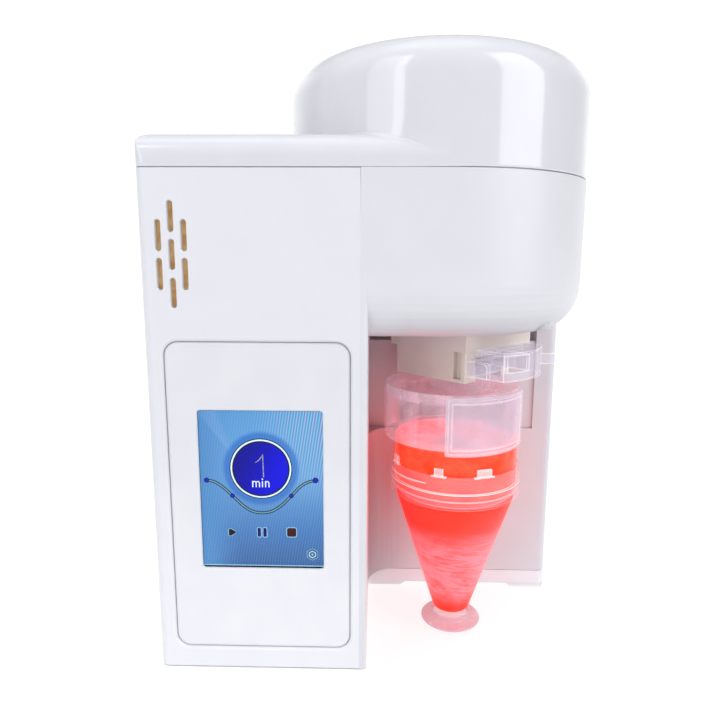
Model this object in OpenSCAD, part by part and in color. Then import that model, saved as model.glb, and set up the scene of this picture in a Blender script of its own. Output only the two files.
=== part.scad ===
// Bench vortex mixer: a column with a touch display, a round drive head that
// overhangs an open bay, and a sample cup that hangs from an orbiting carrier.
// Z is up, X runs to the right, Y runs to the back. The origin is the middle of
// the footprint on the table.

/* [Body] */
// Overall width of the machine
body_w = 195; // [195:1:205]
// Overall depth of the machine
body_d = 141; // [141:1:141]
// Width of the display column
col_w = 92; // [88:1:94]
// Depth of the rear wall behind the cup bay
rear_d = 50.4; // [50:0.1:51]
// Moulded wall thickness
wall = 2.8; // [2.6:0.1:2.8]
// Corner radius of the column and rear wall
corner_r = 4; // [3:0.5:5]

/* [Heights] */
// Height of the seam between base tray and housing
tray_z = 10.9; // [10.5:0.1:11.5]
// Underside of the drive head
floor_z = 158.2; // [158:0.1:159]
// Parting line of the top cover
part_z = 226.3; // [226:0.1:230]
// Top of the flat column cap
cap_z = 240; // [239:0.5:242]
// Top of the dome
dome_z = 278; // [272:1:280]

/* [Display] */
// Width of the rounded display panel
panel_w = 76.6; // [74:0.1:77]
// Height of the rounded display panel
panel_h = 136.7; // [134:0.1:137]
// Corner radius of the display panel
panel_r = 6; // [4:0.5:8]
// Visible width of the screen
screen_w = 52.7; // [50:0.1:53]
// Visible height of the screen
screen_h = 70.6; // [68:0.1:71]

/* [Drive] */
// Offset of the eccentric pin: half of the orbit's diameter
orbit_e = 1.5; // [1:0.1:1.6]
// Radius of the motor can
motor_r = 21; // [19:0.5:22]

/* [Cup] */
// Outer radius of the screw collar
collar_r = 32.3; // [32:0.1:32.5]
// Radius of the cone just under the collar
cone_r = 30.7; // [30:0.1:30.8]
// Radius of the cone's tip
tip_r = 10.5; // [9:0.1:11]
// Radius of the foot disc
foot_r = 15.3; // [13:0.1:16]
// Height of the liquid's surface
liquid_z = 117; // [100:1:120]

/* [Hidden] */
$fn = 64;

X0 = -body_w/2; X1 = body_w/2; Y0 = -body_d/2; Y1 = body_d/2;
xc = X0 + col_w;                 // right face of the column
yr = Y1 - rear_d;                // front face of the rear wall
drum_r = body_d/2;
drum_x = X1 - drum_r;            // drum axis is at [drum_x, 0]
fil_h = 18.4; fil_v = 22;        // lower fillet of the drum
dome_h = 15.6; dome_v = 16;      // upper fillet of the dome
panel_t = wall;
seam_x = xc - 3.3;               // right edge of the front panel
bez_x0 = X0 + 8.1; bez_x1 = bez_x0 + panel_w;
bez_z0 = 20.7; bez_z1 = bez_z0 + panel_h;
scr_x0 = X0 + 20.6; scr_z0 = 58;
cup_x = 38.3; cup_y = -17.1;     // cup axis
cap_x = 35.6; cap_y = -16.3;     // axis of the cap and its shroud
mid_v = 3.7;                     // carrier's symmetry line beside the cup axis
deck_z = 185; deck_t = 4;
plate_z = 165; plate_t = 7;
idler_u = -18; idler_v = 18;
slots = [[8.3, 193.9, 206.3], [8.3, 178.5, 191.2], [13.5, 201.4, 213.6], [13.5, 186.5, 198.6],
    [13.5, 171.3, 183.3], [18.6, 193.9, 206.3], [18.6, 178.5, 191.2]];
deck_posts = [[0, -34], [72, -40], [82, 12], [1.6, 24.4]];
cover_posts = [[X0+6, Y0+24], [X0+6, Y1-6], [X1-6, Y1-6], [30, Y0+6.2]];
base_posts = [[X0+6, Y0+9], [xc-6, Y0+9], [X0+6, Y1-6], [X1-6, yr+6], [X1-6, Y1-6]];
front_posts = [[X0+9, 30], [X0+9, 162], [seam_x-7, 30], [seam_x-7, 162]];
disp_posts = [[X0+7.6, 48], [X0+84.6, 48], [X0+7.6, 138], [X0+84.6, 138]];
board_posts = [[-46, 44], [46, 44], [-46, 136], [46, 136]];
foot_pads = [[X0+5.2, Y0+5.6], [xc-6.6, Y0+5.6], [X0+5.2, Y1-5.6], [xc+6, Y1-5.6], [X1-5.2, yr+5.6], [X1-5.2, Y1-5.6]];
motor_holes = [for (a = [45:90:315]) [15.5*cos(a), 15.5*sin(a)]];

function arc(cx, cy, r, a0, a1, n) = [for (i = [0:n]) let (a = a0 + (a1-a0)*i/n) [cx + r*cos(a), cy + r*sin(a)]];
// plan of a rectangle with one radius at each corner: r = [front left, front right, back right, back left]
function rr4(x0, x1, y0, y1, r) = concat(
    arc(x0+r[0], y0+r[0], r[0], 180, 270, 6), arc(x1-r[1], y0+r[1], r[1], 270, 360, 6),
    arc(x1-r[2], y1-r[2], r[2], 0, 90, 6), arc(x0+r[3], y1-r[3], r[3], 90, 180, 6));
function rr(x0, x1, y0, y1, r) = rr4(x0, x1, y0, y1, [r, r, r, r]);
function ir(d) = max(corner_r - d, 0.6);
// plan of the whole head, moved in by d
function head_pts(d) = concat(
    arc(X0+d+ir(d), Y0+d+ir(d), ir(d), 180, 270, 6),
    arc(drum_x, 0, drum_r-d, -90, 0, 28),
    arc(X1-d-ir(d), Y1-d-ir(d), ir(d), 0, 90, 6),
    arc(X0+d+ir(d), Y1-d-ir(d), ir(d), 90, 180, 6));
// section of the drum from its axis outwards, with the lower fillet
function drum_sec(d, zt) = concat([[0, floor_z+d]],
    [for (i = [0:10]) let (a = -90 + 9*i) [drum_r-fil_h + (fil_h-d)*cos(a), floor_z+fil_v + (fil_v-d)*sin(a)]],
    [[drum_r-d, zt], [0, zt]]);
function dome_sec(d, zb) = concat([[0, zb], [drum_r-d, zb]],
    [for (i = [0:10]) let (a = 9*i) [drum_r-dome_h + (dome_h-d)*cos(a), dome_z-dome_v + (dome_v-d)*sin(a)]],
    [[0, dome_z-d]]);

module box(x0, x1, y0, y1, z0, z1) { translate([x0, y0, z0]) cube([x1-x0, y1-y0, z1-z0]); }
module cyl(x, y, z0, z1, r) { translate([x, y, z0]) cylinder(h = z1-z0, r = r); }
module cyl_y(x, z, y0, y1, r) { translate([x, y1, z]) rotate([90, 0, 0]) cylinder(h = y1-y0, r = r); }
module cyl_x(y, z, x0, x1, r) { translate([x0, y, z]) rotate([0, 90, 0]) cylinder(h = x1-x0, r = r); }
module plan(pts, z0, z1) { translate([0, 0, z0]) linear_extrude(z1-z0) polygon(pts); }
// a plate seen from the front: points are [x, z], depth y0 to y1
module front(pts, y0, y1) { translate([0, y1, 0]) rotate([90, 0, 0]) linear_extrude(y1-y0) polygon(pts); }
// a prism along X: points are [y, z]
module along_x(pts, x0, x1) { translate([x0, 0, 0]) rotate([90, 0, 90]) linear_extrude(x1-x0) polygon(pts); }
module ring(z0, z1, ro, ri) { translate([0, 0, z0]) difference() { cylinder(h = z1-z0, r = ro); translate([0, 0, -1]) cylinder(h = z1-z0+2, r = ri); } }
module at_cup() { translate([cup_x, cup_y, 0]) rotate(-45) children(); }
module at_cap() { translate([cap_x, cap_y, 0]) children(); }
module at_drum() { translate([drum_x, 0, 0]) children(); }
module at_orbit() { translate([drum_x, 0, 0]) rotate(-45) children(); }
module pill(x, z0, z1, w, y0, y1) {
    cyl_y(x, z0+w/2, y0, y1, w/2);
    cyl_y(x, z1-w/2, y0, y1, w/2);
    box(x-w/2, x+w/2, y0, y1, z0+w/2, z1-w/2);
}
// pan-head machine screw pointing up from z, head below
module screw_up(x, y, z, r, l, hr, hh) { cyl(x, y, z-hh, z, hr); cyl(x, y, z, z+l, r); }
module screw_down(x, y, z, r, l, hr, hh) {
    difference() { cyl(x, y, z, z+hh, hr); cyl(x, y, z+hh*0.45, z+hh+1, r*0.55, $fn = 6); }
    cyl(x, y, z-l, z, r);
}

// the head's lower half (d = 0 outside, d = wall inside)
module head_low(d, zt) {
    at_drum() rotate(-90) rotate_extrude(angle = 90) polygon(drum_sec(d, zt));
    // straight front between the column and the drum's quarter circle
    along_x([for (p = drum_sec(d, zt)) [-p[0], p[1]]], xc-wall-0.1, drum_x);
    // straight right side behind the quarter circle
    translate([drum_x, 0, 0]) front(drum_sec(d, zt), 0, yr+wall+0.1);
    box(xc-wall-0.1, drum_x, 0, yr+wall+0.1, floor_z+d, zt);
}

module main_housing() color("#e9eaee") {
    difference() {
        union() {
            plan(rr4(X0, xc, Y0, Y1, [corner_r, 2, 0.6, corner_r]), tray_z, part_z);
            plan(rr4(xc-1, X1, yr, Y1, [0.6, corner_r, corner_r, 0.6]), tray_z, part_z);
            head_low(0, part_z);
            // soft inner corner of the bay
            plan(concat([[xc-0.5, yr+0.5]], arc(xc+16, yr-16, 16, 180, 90, 8)), tray_z, 97);
        }
        // column inside
        box(X0+wall, xc-wall, Y0+wall, Y1-wall, tray_z-1, part_z+1);
        // rear wall inside, set back behind the shallow panel and the carrier's pocket
        box(xc-wall-0.05, X1-wall, yr+wall, Y1-wall, tray_z-1, 94.2);
        box(xc-wall-0.05, X1-wall, yr+wall+1.2, Y1-wall, 94.1, 143.8);
        box(xc-wall-0.05, X1-wall, yr+11.8, Y1-wall, 143.7, part_z+1);
        box(X1-8.7, X1-wall, yr+wall, yr+12, 94.1, part_z+1);
        // shallow sunk panel behind the cup
        box(xc, X1-11.5, yr-1, yr+1.2, 97, 146.6);
        // pocket that the carrier's flange moves in
        box(xc, X1-11.5, yr-1, yr+9, 146.5, floor_z);
        // head inside
        box(xc-wall-0.05, X1-wall, yr+1, Y1-wall, floor_z+wall, part_z+1);
        head_low(wall, part_z+1);
        // opening that the carrier hangs through
        at_orbit() cyl(22.7, 0, floor_z-1, floor_z+wall+1, 20);
        // place of the front panel
        box(X0-1, seam_x+0.15, Y0-1, Y0+wall, tray_z-1, part_z+1);
        // seat of the inlet and switch in the back
        box(X0+26, X0+78, Y1-4, Y1+1, 22, 52);
        // service vents in the back
        for (i = [0:5]) pill(X1-74+i*12, 150, 196, 3.4, Y1-wall-1, Y1+1);
    }
    // pocket of the inlet and switch
    difference() {
        box(X0+23.2, X0+80.8, Y1-6.8, Y1-wall+0.05, 19.2, 54.8);
        box(X0+26, X0+78, Y1-4, Y1+1, 22, 52);
        cyl_y(X0+39, 37, Y1-9, Y1, 5.5);
        box(X0+53.5, X0+66.5, Y1-9, Y1, 27.5, 46.5);
    }
    // posts of the motor deck
    for (p = [deck_posts[0], deck_posts[1], deck_posts[2]]) difference() {
        cyl(p[0], p[1], floor_z+1.9, deck_z, 4.2);
        cyl(p[0], p[1], deck_z-14, deck_z+1, 1.55);
    }
    difference() {
        cyl(deck_posts[3][0], deck_posts[3][1], floor_z+0.1, deck_z, 4.2);
        cyl(deck_posts[3][0], deck_posts[3][1], deck_z-14, deck_z+1, 1.55);
    }
    // bosses of the base screws
    for (p = base_posts) difference() {
        cyl(p[0], p[1], 5.7, 24, 3.6);
        cyl(p[0], p[1], 5, 20, 1.55);
    }
    // ledges for the top cover's screws
    for (p = cover_posts) difference() {
        union() {
            cyl(p[0], p[1], 214, 218, 4.4);
            box(p[0] < -60 ? X0+wall-0.1 : (p[0] > 60 ? p[0] : p[0]-4.4), p[0] < -60 ? p[0] : (p[0] > 60 ? X1-wall+0.1 : p[0]+4.4),
                p[1] > 0 ? p[1]-4.4 : (p[0] > 0 ? Y0+wall-0.1 : p[1]-4.4), p[1] > 0 ? Y1-wall+0.1 : p[1]+(p[0] > 0 ? 0 : 4.4), 214, 218);
        }
        cyl(p[0], p[1], 213, 219, 1.7);
    }
    // lugs for the front panel's screws
    for (p = front_posts) difference() {
        box(p[0] < -60 ? X0+wall-0.1 : p[0]-4.5, p[0] < -60 ? p[0]+4.5 : xc-wall+0.1, Y0+14, Y0+17, p[1]-4.5, p[1]+4.5);
        cyl_y(p[0], p[1], Y0+13, Y0+18, 1.7);
    }
    // standoffs of the control board on the left wall
    for (p = board_posts) difference() {
        cyl_x(p[0], p[1], X0+wall-0.1, X0+8.4, 3);
        cyl_x(p[0], p[1], X0+wall+0.2, X0+9, 1.3);
    }
}

module front_panel() color("#eeeff3") {
    difference() {
        intersection() {
            plan(rr4(X0, xc, Y0, Y1, [corner_r, 2, 0.6, corner_r]), tray_z+0.2, part_z-0.2);
            box(X0, seam_x, Y0-1, Y0+panel_t, tray_z, part_z);
        }
        // seat of the display panel, with a ledge behind it
        front(rr(bez_x0-0.3, bez_x1+0.3, bez_z0-0.3, bez_z1+0.3, panel_r+0.3), Y0-1, Y0+2);
        front(rr(bez_x0+4, bez_x1-4, bez_z0+4, bez_z1-4, panel_r-2), Y0-1, Y0+panel_t+1);
        for (s = slots) pill(X0+s[0], s[1], s[2], 2.4, Y0-1, Y0+panel_t+1);
    }
    // screw posts
    for (p = front_posts) difference() {
        cyl_y(p[0], p[1], Y0+panel_t-0.1, Y0+13.9, 3.4);
        cyl_y(p[0], p[1], Y0+4, Y0+14, 1.35);
    }
    for (p = disp_posts) difference() {
        cyl_y(p[0], p[1], Y0+panel_t-0.1, Y0+6.7, 2.6);
        cyl_y(p[0], p[1], Y0+1.2, Y0+7, 1.05);
    }
}

module top_cover() color("#f2f3f7") {
    difference() {
        cover_solid(0, part_z);
        cover_solid(wall, part_z-1);
    }
    // lip that centres the cover in the housing
    difference() {
        plan(head_pts(wall+0.2), part_z-4, part_z+2);
        plan(head_pts(wall+2), part_z-5, part_z+3);
        for (p = cover_posts) cyl(p[0], p[1], part_z-5, part_z+3, 2);
    }
    // screw posts
    for (p = cover_posts) difference() {
        cyl(p[0], p[1], 218.2, p[0] > 0 && p[1] < 0 ? 262 : 238, 3);
        cyl(p[0], p[1], 217, 232, 1.35);
    }
}
// the cover's solid form: d = 0 outside, d = wall inside
module cover_solid(d, zb) {
    r = 10;
    // cap along X, front and back top edges rounded
    intersection() {
        along_x(concat([[Y0+d, zb]], arc(Y0+r, cap_z-r, r-d, 180, 90, 8), arc(Y1-r, cap_z-r, r-d, 90, 0, 8), [[Y1-d, zb]]), X0+d, drum_x);
        front(concat([[X0+d, zb]], arc(X0+6, cap_z-6, 6-d, 180, 90, 6), [[drum_x+1, cap_z-d], [drum_x+1, zb]]), Y0, Y1);
        plan(rr4(X0+d, X1, Y0+d, Y1-d, [ir(d), 1, 1, ir(d)]), zb, cap_z);
    }
    // cap behind the dome
    intersection() {
        along_x(concat([[0, zb], [0, cap_z-d]], arc(Y1-r, cap_z-r, r-d, 90, 0, 8), [[Y1-d, zb]]), drum_x, X1-d);
        front(concat([[drum_x, zb], [drum_x, cap_z-d]], arc(X1-r, cap_z-r, r-d, 90, 0, 8), [[X1-d, zb]]), 0, Y1);
        plan(rr4(drum_x, X1-d, -10, Y1-d, [1, 1, ir(d), 0.6]), zb, cap_z);
    }
    at_drum() rotate(-90) rotate_extrude(angle = 180) polygon(dome_sec(d, zb));
    at_drum() rotate(90) rotate_extrude(angle = 180) polygon(dome_sec(d, zb));
}

module base_tray() color("#e4e5ea") {
    difference() {
        union() {
            plan(rr4(X0, xc, Y0, Y1, [corner_r, 2, 0.6, corner_r]), 2.7, tray_z-0.2);
            plan(rr4(xc-1, X1, yr, Y1, [0.6, corner_r, corner_r, 0.6]), 2.7, tray_z-0.2);
            // feet, sloping into the arches between them
            front([[X0+0.6, 2.8], [X0+0.9, 0.3], [X0+10.9, 0.3], [X0+14.6, 2.8]], Y0+0.6, Y0+12);
            front([[X0+75, 2.8], [X0+80.4, 0.3], [xc-0.9, 0.3], [xc-0.6, 2.8]], Y0+0.6, Y0+12);
            front([[X0+0.6, 2.8], [X0+0.9, 0.3], [X0+10.9, 0.3], [X0+14.6, 2.8]], Y1-12, Y1-0.6);
            for (y = [yr+0.6, Y1-12]) {
                front([[xc, 2.8], [xc, 0.3], [xc+18.8, 0.3], [xc+22.6, 2.8]], y, y+11.4);
                front([[X1-22.7, 2.8], [X1-19.1, 0.3], [X1-0.9, 0.3], [X1-0.6, 2.8]], y, y+11.4);
            }
        }
        box(X0+wall, xc-wall, Y0+wall, Y1-wall, 5.5, tray_z+1);
        box(xc-wall-0.1, X1-wall, yr+wall, Y1-wall, 5.5, tray_z+1);
        for (p = base_posts) { cyl(p[0], p[1], 2, 6, 1.7); cyl(p[0], p[1], 2, 4.4, 3); cyl(p[0], p[1], 0, 4.4, 3); cyl(p[0], p[1], 5.5, tray_z+1, 3.8); }
        for (p = foot_pads) cyl(p[0], p[1], -1, 1.5, 3.8);
        // cooling slots in the floor
        for (i = [0:6]) box(X0+22+i*8, X0+25+i*8, -30, 30, 2, 6);
    }
}

module rubber_feet() color("#3a3b3e") for (p = foot_pads) cyl(p[0], p[1], 0, 1.5, 3.7);
module base_screws() color("#9a9ca0") for (p = base_posts) screw_up(p[0], p[1], 4.4, 1.5, 13, 2.8, 1.5);
module cover_screws() color("#9a9ca0") for (p = cover_posts) screw_up(p[0], p[1], 214, 1.3, 15, 2.8, 1.8);
module front_screws() color("#9a9ca0") for (p = front_posts) { cyl_y(p[0], p[1], Y0+17, Y0+18.8, 2.8); cyl_y(p[0], p[1], Y0+6, Y0+17, 1.3); }
module display_screws() color("#9a9ca0") for (p = disp_posts) { cyl_y(p[0], p[1], Y0+8.4, Y0+9.8, 1.9); cyl_y(p[0], p[1], Y0+3, Y0+8.4, 1); }
module board_screws() color("#9a9ca0") for (p = board_posts) { cyl_x(p[0], p[1], X0+10, X0+11.6, 2.3); cyl_x(p[0], p[1], X0+4, X0+10, 1.25); }

module panel_bezel() color("#f4f4f6") difference() {
    front(rr(bez_x0, bez_x1, bez_z0, bez_z1, panel_r), Y0+0.8, Y0+2);
    box(scr_x0, scr_x0+screen_w, Y0-1, Y0+3, scr_z0, scr_z0+screen_h);
}
module touch_glass() color("#1c2638") front(rr(scr_x0-3, scr_x0+screen_w+3, scr_z0-4, scr_z0+screen_h+3, 1), Y0+2.02, Y0+3.1);
module lcd_module() color("#5b7fd0") {
    box(scr_x0-2, scr_x0+screen_w+2, Y0+3.15, Y0+6.5, scr_z0-6, scr_z0+screen_h+2);
    box(scr_x0+14, scr_x0+38, Y0+4.5, Y0+4.9, scr_z0-12, scr_z0-6);
}
module display_board() color("#2f6b46") {
    difference() {
        box(X0+5, X0+87.2, Y0+6.75, Y0+8.35, 44, 142);
        for (p = disp_posts) cyl_y(p[0], p[1], Y0+6, Y0+9, 1.1);
    }
    box(X0+30, X0+44, Y0+8.35, Y0+10, 70, 84);
    box(X0+52, X0+60, Y0+8.35, Y0+9.6, 96, 104);
    box(X0+38, X0+56, Y0+8.35, Y0+13, 120, 126);
}
module control_board() color("#2f6b46") {
    difference() {
        box(X0+8.4, X0+10, -50, 50, 40, 140);
        for (p = board_posts) cyl_x(p[0], p[1], X0+8, X0+11, 1.3);
    }
    box(X0+10, X0+12, -12, 6, 84, 102);
    for (y = [18, 30]) cyl_x(y, 60, X0+10, X0+24, 4);
    box(X0+10, X0+22, -42, -26, 54, 66);
    box(X0+10, X0+18, -45, -30, 118, 130);
    box(X0+10, X0+19, -8, 8, 130, 138);
    box(X0+10, X0+19, 34, 44, 66, 80);
}
module ribbon_cable() color("#c9ccd2") plan([[X0+41, Y0+13.1], [X0+53, Y0+13.1], [X0+53, Y0+18.6], [X0+22.6, Y0+18.6], [X0+22.6, -37], [X0+18.1, -37],
    [X0+18.1, -38], [X0+21.6, -38], [X0+21.6, Y0+17.6], [X0+52, Y0+17.6], [X0+52, Y0+14.1], [X0+41, Y0+14.1]], 119.5, 125.5);
module motor_cable() color("#303236") front([[X0+12.5, 138.1], [X0+16.5, 138.1], [X0+16.5, 206], [drum_x-motor_r-1.2, 206], [drum_x-motor_r-1.2, 210], [X0+12.5, 210]], -2, 2);
module power_leads() color("#303236") {
    // from the inlet to the board
    box(X0+37.7, X0+40.3, 40, Y1-17, 35.7, 38.3);
    box(X0+37.7, X0+40.3, 40, 42.6, 35.7, 72);
    box(X0+19.05, X0+40.3, 40, 42.6, 69.4, 72);
    // from the switch to the board
    box(X0+58.7, X0+61.3, 34.4, Y1-18.05, 35.7, 38.3);
    box(X0+22, X0+61.3, 34.4, 37, 35.7, 38.3);
    box(X0+22, X0+24.6, 34.4, 37, 35.7, 72);
    box(X0+19.05, X0+24.6, 34.4, 37, 69.4, 72);
}

module speaker_cloth() color("#b98a45") box(X0+4.2, X0+23.4, Y0+panel_t+0.02, Y0+panel_t+0.6, 167, 218);
module speaker_frame() color("#2a2b2e") difference() {
    box(X0+4.2, X0+23.4, Y0+panel_t+0.62, Y0+13.8, 172, 202);
    box(X0+5.6, X0+22, Y0+panel_t, Y0+12.4, 173.4, 200.6);
    cyl_y(X0+13.8, 187, Y0+12, Y0+15, 6.4);
}
module speaker_cone() color("#1f2023") translate([X0+13.8, Y0+5, 187]) rotate([-90, 0, 0]) difference() {
    cylinder(h = 6, r1 = 8, r2 = 4);
    translate([0, 0, -0.5]) cylinder(h = 6, r1 = 7.6, r2 = 3.6);
}
module speaker_magnet() color("#8d9096") cyl_y(X0+13.8, 187, Y0+11.1, Y0+17.5, 6.2);

module power_inlet() color("#202124") {
    difference() {
        union() {
            cyl_y(X0+39, 37, Y1-15, Y1-4.01, 5.4);
            cyl_y(X0+39, 37, Y1-3.99, Y1-2.6, 6.8);
            cyl_y(X0+39, 37, Y1-4.1, Y1-3.9, 5.4);
        }
        cyl_y(X0+39, 37, Y1-13, Y1, 2.85);
    }
    cyl_y(X0+39, 37, Y1-13.1, Y1-4.4, 1);
    for (x = [36.4, 40.4]) box(X0+x, X0+x+1.2, Y1-18, Y1-14.9, 35.5, 38.5);
}
module switch_body() color("#202124") difference() {
    union() {
        box(X0+53.7, X0+66.3, Y1-18, Y1-3.9, 27.7, 46.3);
        box(X0+52, X0+68, Y1-3.99, Y1-2.4, 26, 48);
    }
    box(X0+55.2, X0+64.8, Y1-11, Y1, 29.4, 44.6);
}
module switch_rocker() color("#2c2d31") translate([0, Y1-5, 37]) rotate([10, 0, 0]) {
    along_x([[-1.2, 5.4], [3.2, 6.4], [2, 0], [3.2, -6.4], [-1.2, -5.4]], X0+55.6, X0+64.4);
    // round hub that it rocks on
    cyl_x(0, 0, X0+55.6, X0+64.4, 3.2);
}

module motor_deck() color("#b7bac0") difference() {
    cyl(drum_x, 0, deck_z, deck_z+deck_t, 64);
    at_drum() cyl(0, 0, deck_z-1, deck_z+deck_t+1, 11.2);
    at_drum() for (p = motor_holes) cyl(p[0], p[1], deck_z-1, deck_z+deck_t+1, 1.7);
    at_orbit() for (s = [-1, 1]) cyl(idler_u, s*idler_v, deck_z-1, deck_z+deck_t+1, 5.5);
    for (p = deck_posts) cyl(p[0], p[1], deck_z-1, deck_z+deck_t+1, 1.7);
    // lightening holes
    at_orbit() for (a = [0, 60, -60]) cyl(42*cos(a), 42*sin(a), deck_z-1, deck_z+deck_t+1, 9);
}
module deck_screws() color("#9a9ca0") for (p = deck_posts) screw_down(p[0], p[1], deck_z+deck_t, 1.5, 16, 2.8, 1.8);

mz = deck_z + deck_t;            // motor's mounting face
module motor_can() color("#8e9299") at_drum() difference() {
    union() {
        cyl(0, 0, mz, mz+47, motor_r);
        cyl(0, 0, deck_z+0.2, mz+0.1, 11);
        // terminal block on the side
        box(-motor_r-1.1, -motor_r+3, -5, 5, 204, 212);
    }
    cyl(0, 0, mz+2, mz+45, motor_r-1.6);
    cyl(0, 0, deck_z-1, mz+2.5, 6.55);
    cyl(0, 0, mz+41, mz+45.1, 6.55);
    for (p = motor_holes) cyl(p[0], p[1], mz-1, mz+2.1, 1.3);
}
module motor_stator() color("#a4683a") at_drum() difference() {
    cyl(0, 0, mz+8, mz+34, motor_r-1.7);
    cyl(0, 0, mz+7, mz+35, 12.6);
    for (a = [0:30:330]) rotate(a) box(12, 17.4, -1.3, 1.3, mz+7, mz+35);
}
module motor_bearings() color("#c9ccd1") at_drum() {
    difference() { cyl(0, 0, deck_z+1, deck_z+6, 6.5); cyl(0, 0, deck_z, deck_z+7, 2.55); }
    difference() { cyl(0, 0, mz+41, mz+45, 6.5); cyl(0, 0, mz+40, mz+46, 2.55); }
}
module motor_screws() color("#9a9ca0") at_drum() for (p = motor_holes) screw_up(p[0], p[1], deck_z, 1.25, 6, 2.3, 1.5);
module motor_rotor() color("#5c6066") at_drum() difference() { cyl(0, 0, mz+7, mz+35, 12.2); cyl(0, 0, mz+6, mz+36, 2.52); }
module motor_shaft() color("#d2d5d9") at_drum() cyl(0, 0, 176, mz+44, 2.5);
module eccentric_hub() color("#b9912f") at_orbit() {
    difference() {
        union() {
            cyl(0, 0, 174.6, 182.6, 9);
            // counterweight opposite to the pin
            intersection() { cyl(0, 0, 174.6, 180.6, 16.5); box(-17, -3, -13, 13, 174, 181); }
            cyl(orbit_e, 0, 165.6, 174.7, 3.96);
        }
        cyl(0, 0, 175.9, 183, 2.52);
        translate([0, 0, 181.4]) rotate([0, 90, 0]) cylinder(h = 10, r = 1.02);
    }
}
module hub_setscrew() color("#2b2c2f") at_orbit() translate([2.6, 0, 181.4]) rotate([0, 90, 0]) cylinder(h = 5, r = 1);

module deck_bearings() color("#c9ccd1") at_orbit() for (s = [-1, 1]) difference() {
    cyl(idler_u, s*idler_v, deck_z, deck_z+4, 5.45);
    cyl(idler_u, s*idler_v, deck_z-1, deck_z+5, 2.05);
}
module idler(s) at_orbit() {
    cyl(idler_u, s*idler_v, 181, deck_z+5, 2);
    cyl(idler_u, s*idler_v, deck_z+4.3, deck_z+5.3, 3);
    cyl(idler_u, s*idler_v, 175, 182, 6);
    cyl(idler_u+orbit_e, s*idler_v, 166, 175.5, 2);
}
module idler_crank_left() color("#8c6fae") idler(-1);
module idler_crank_right() color("#8c6fae") idler(1);

module orbit_plate() color("#c4c7cd") at_orbit() difference() {
    plan(rr(-26+orbit_e, 38, -25, 25, 5), plate_z, plate_z+plate_t);
    cyl(orbit_e, 0, plate_z-1, plate_z+plate_t+1, 11);
    for (s = [-1, 1]) cyl(idler_u+orbit_e, s*idler_v, plate_z-1, plate_z+plate_t+1, 5.5);
    for (x = [22, 31], y = [-8, 8]) {
        cyl(x, y, plate_z-1, plate_z+plate_t+1, 1.7);
        cyl(x, y, plate_z+4.4, plate_z+plate_t+1, 3);
    }
}
module plate_bearing() color("#d8dade") at_orbit() translate([orbit_e, 0, 0]) {
    ring(plate_z, plate_z+plate_t, 10.95, 9.1);
    ring(plate_z, plate_z+plate_t, 6.1, 4);
    for (a = [0:40:320]) rotate(a) translate([7.6, 0, plate_z+3.5]) sphere(r = 1.42, $fn = 24);
    // cage that holds the balls at their spacing
    difference() {
        ring(plate_z+1.2, plate_z+5.8, 8.1, 7.1);
        for (a = [0:40:320]) rotate(a) translate([6, 0, plate_z+3.5]) rotate([0, 90, 0]) cylinder(h = 4, r = 1.5);
    }
}
module idler_bearings() color("#d8dade") at_orbit() for (s = [-1, 1]) translate([idler_u+orbit_e, s*idler_v, 0]) ring(plate_z+1, plate_z+6, 5.45, 2.05);

module carrier_block() color("#efeae2") at_cup() difference() {
    union() {
        // flange under the head
        plan([[-31.4, -15], [15.6, -15], [15.6, 39.6], [-19.9, 39.6], [-31.4, 28.1]], 148.4, 157.4);
        // body with the cup's slide
        plan(rr4(-28, 15.6, -15, 22.4, [1.5, 0.8, 1.5, 3]), 134.3, 148.5);
        // neck up to the orbit plate
        plan(rr(-6.1, 14.3, -7.9, 16.1, 2), 157.3, plate_z);
    }
    // slide for the cup's tongue, open to the front and below
    box(-17, 17, mid_v-12, mid_v+12, 140.7, 146.5);
    box(-17, 17, mid_v-10.4, mid_v+10.4, 133, 141);
    // side windows that show the tongue
    for (v = [-16, 21.8]) box(8.9, 13.1, v, v+3.6, 136, 148.7);
    // threads of the carrier screws
    at_screws() cyl(0, 0, 151, plate_z+1, 1.3);
}
module at_screws() for (x = [22, 31], y = [-8, 8]) translate([x-20.08, y+4.1, 0]) children();
module carrier_screws() color("#9a9ca0") at_cup() at_screws() {
    cyl(0, 0, plate_z+4.4, plate_z+6.6, 2.8);
    cyl(0, 0, 153, plate_z+4.5, 1.25);
}

// clear clip: a tongue that slides in the carrier and a D-shaped pull in front of it
module slide_clip() color([0.85, 0.84, 0.92, 0.6]) {
    at_cup() {
        // tongue and its web
        box(-16.4, 16.6, mid_v-11.7, mid_v+11.7, 141.3, 146.2);
        box(-13, 13, mid_v-9.9, mid_v+9.9, 135.5, 141.4);
        // D-shaped pull, stepped back at the top
        difference() {
            union() {
                clip_outline(0, 16.1, 137.5, 147);
                clip_outline(0, 20, 146.9, 150.5);
            }
            clip_outline(1.5, 16.1, 136, 145.6);
            clip_outline(1.5, 20, 145.5, 149.1);
            // window in the front wall
            box(28, 42, -10.6, 2.8, 141.6, 148.9);
        }
        // rib from the tongue to the front wall
        box(16.5, 37, 3.1, 4.6, 141.3, 149.2);
        // pad on the left wall
        front(rr4(16.1, 27.5, 137.9, 145, [0.5, 0.5, 2.2, 0.5]), -15, -12.4);
    }
    // finger tab at the right corner
    front(rr4(76.5, 85.5, 141.2, 146.3, [0.4, 1.8, 1.8, 0.4]), -22.1, -20.6);
}
module clip_outline(d, u0, z0, z1) translate([0, 0, z0]) linear_extrude(z1-z0) intersection() {
    translate([0, 3]) circle(r = 37.9-d, $fn = 96);
    translate([u0+d, -12.5+d]) square([30, 37.5-2*d]);
}

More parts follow.
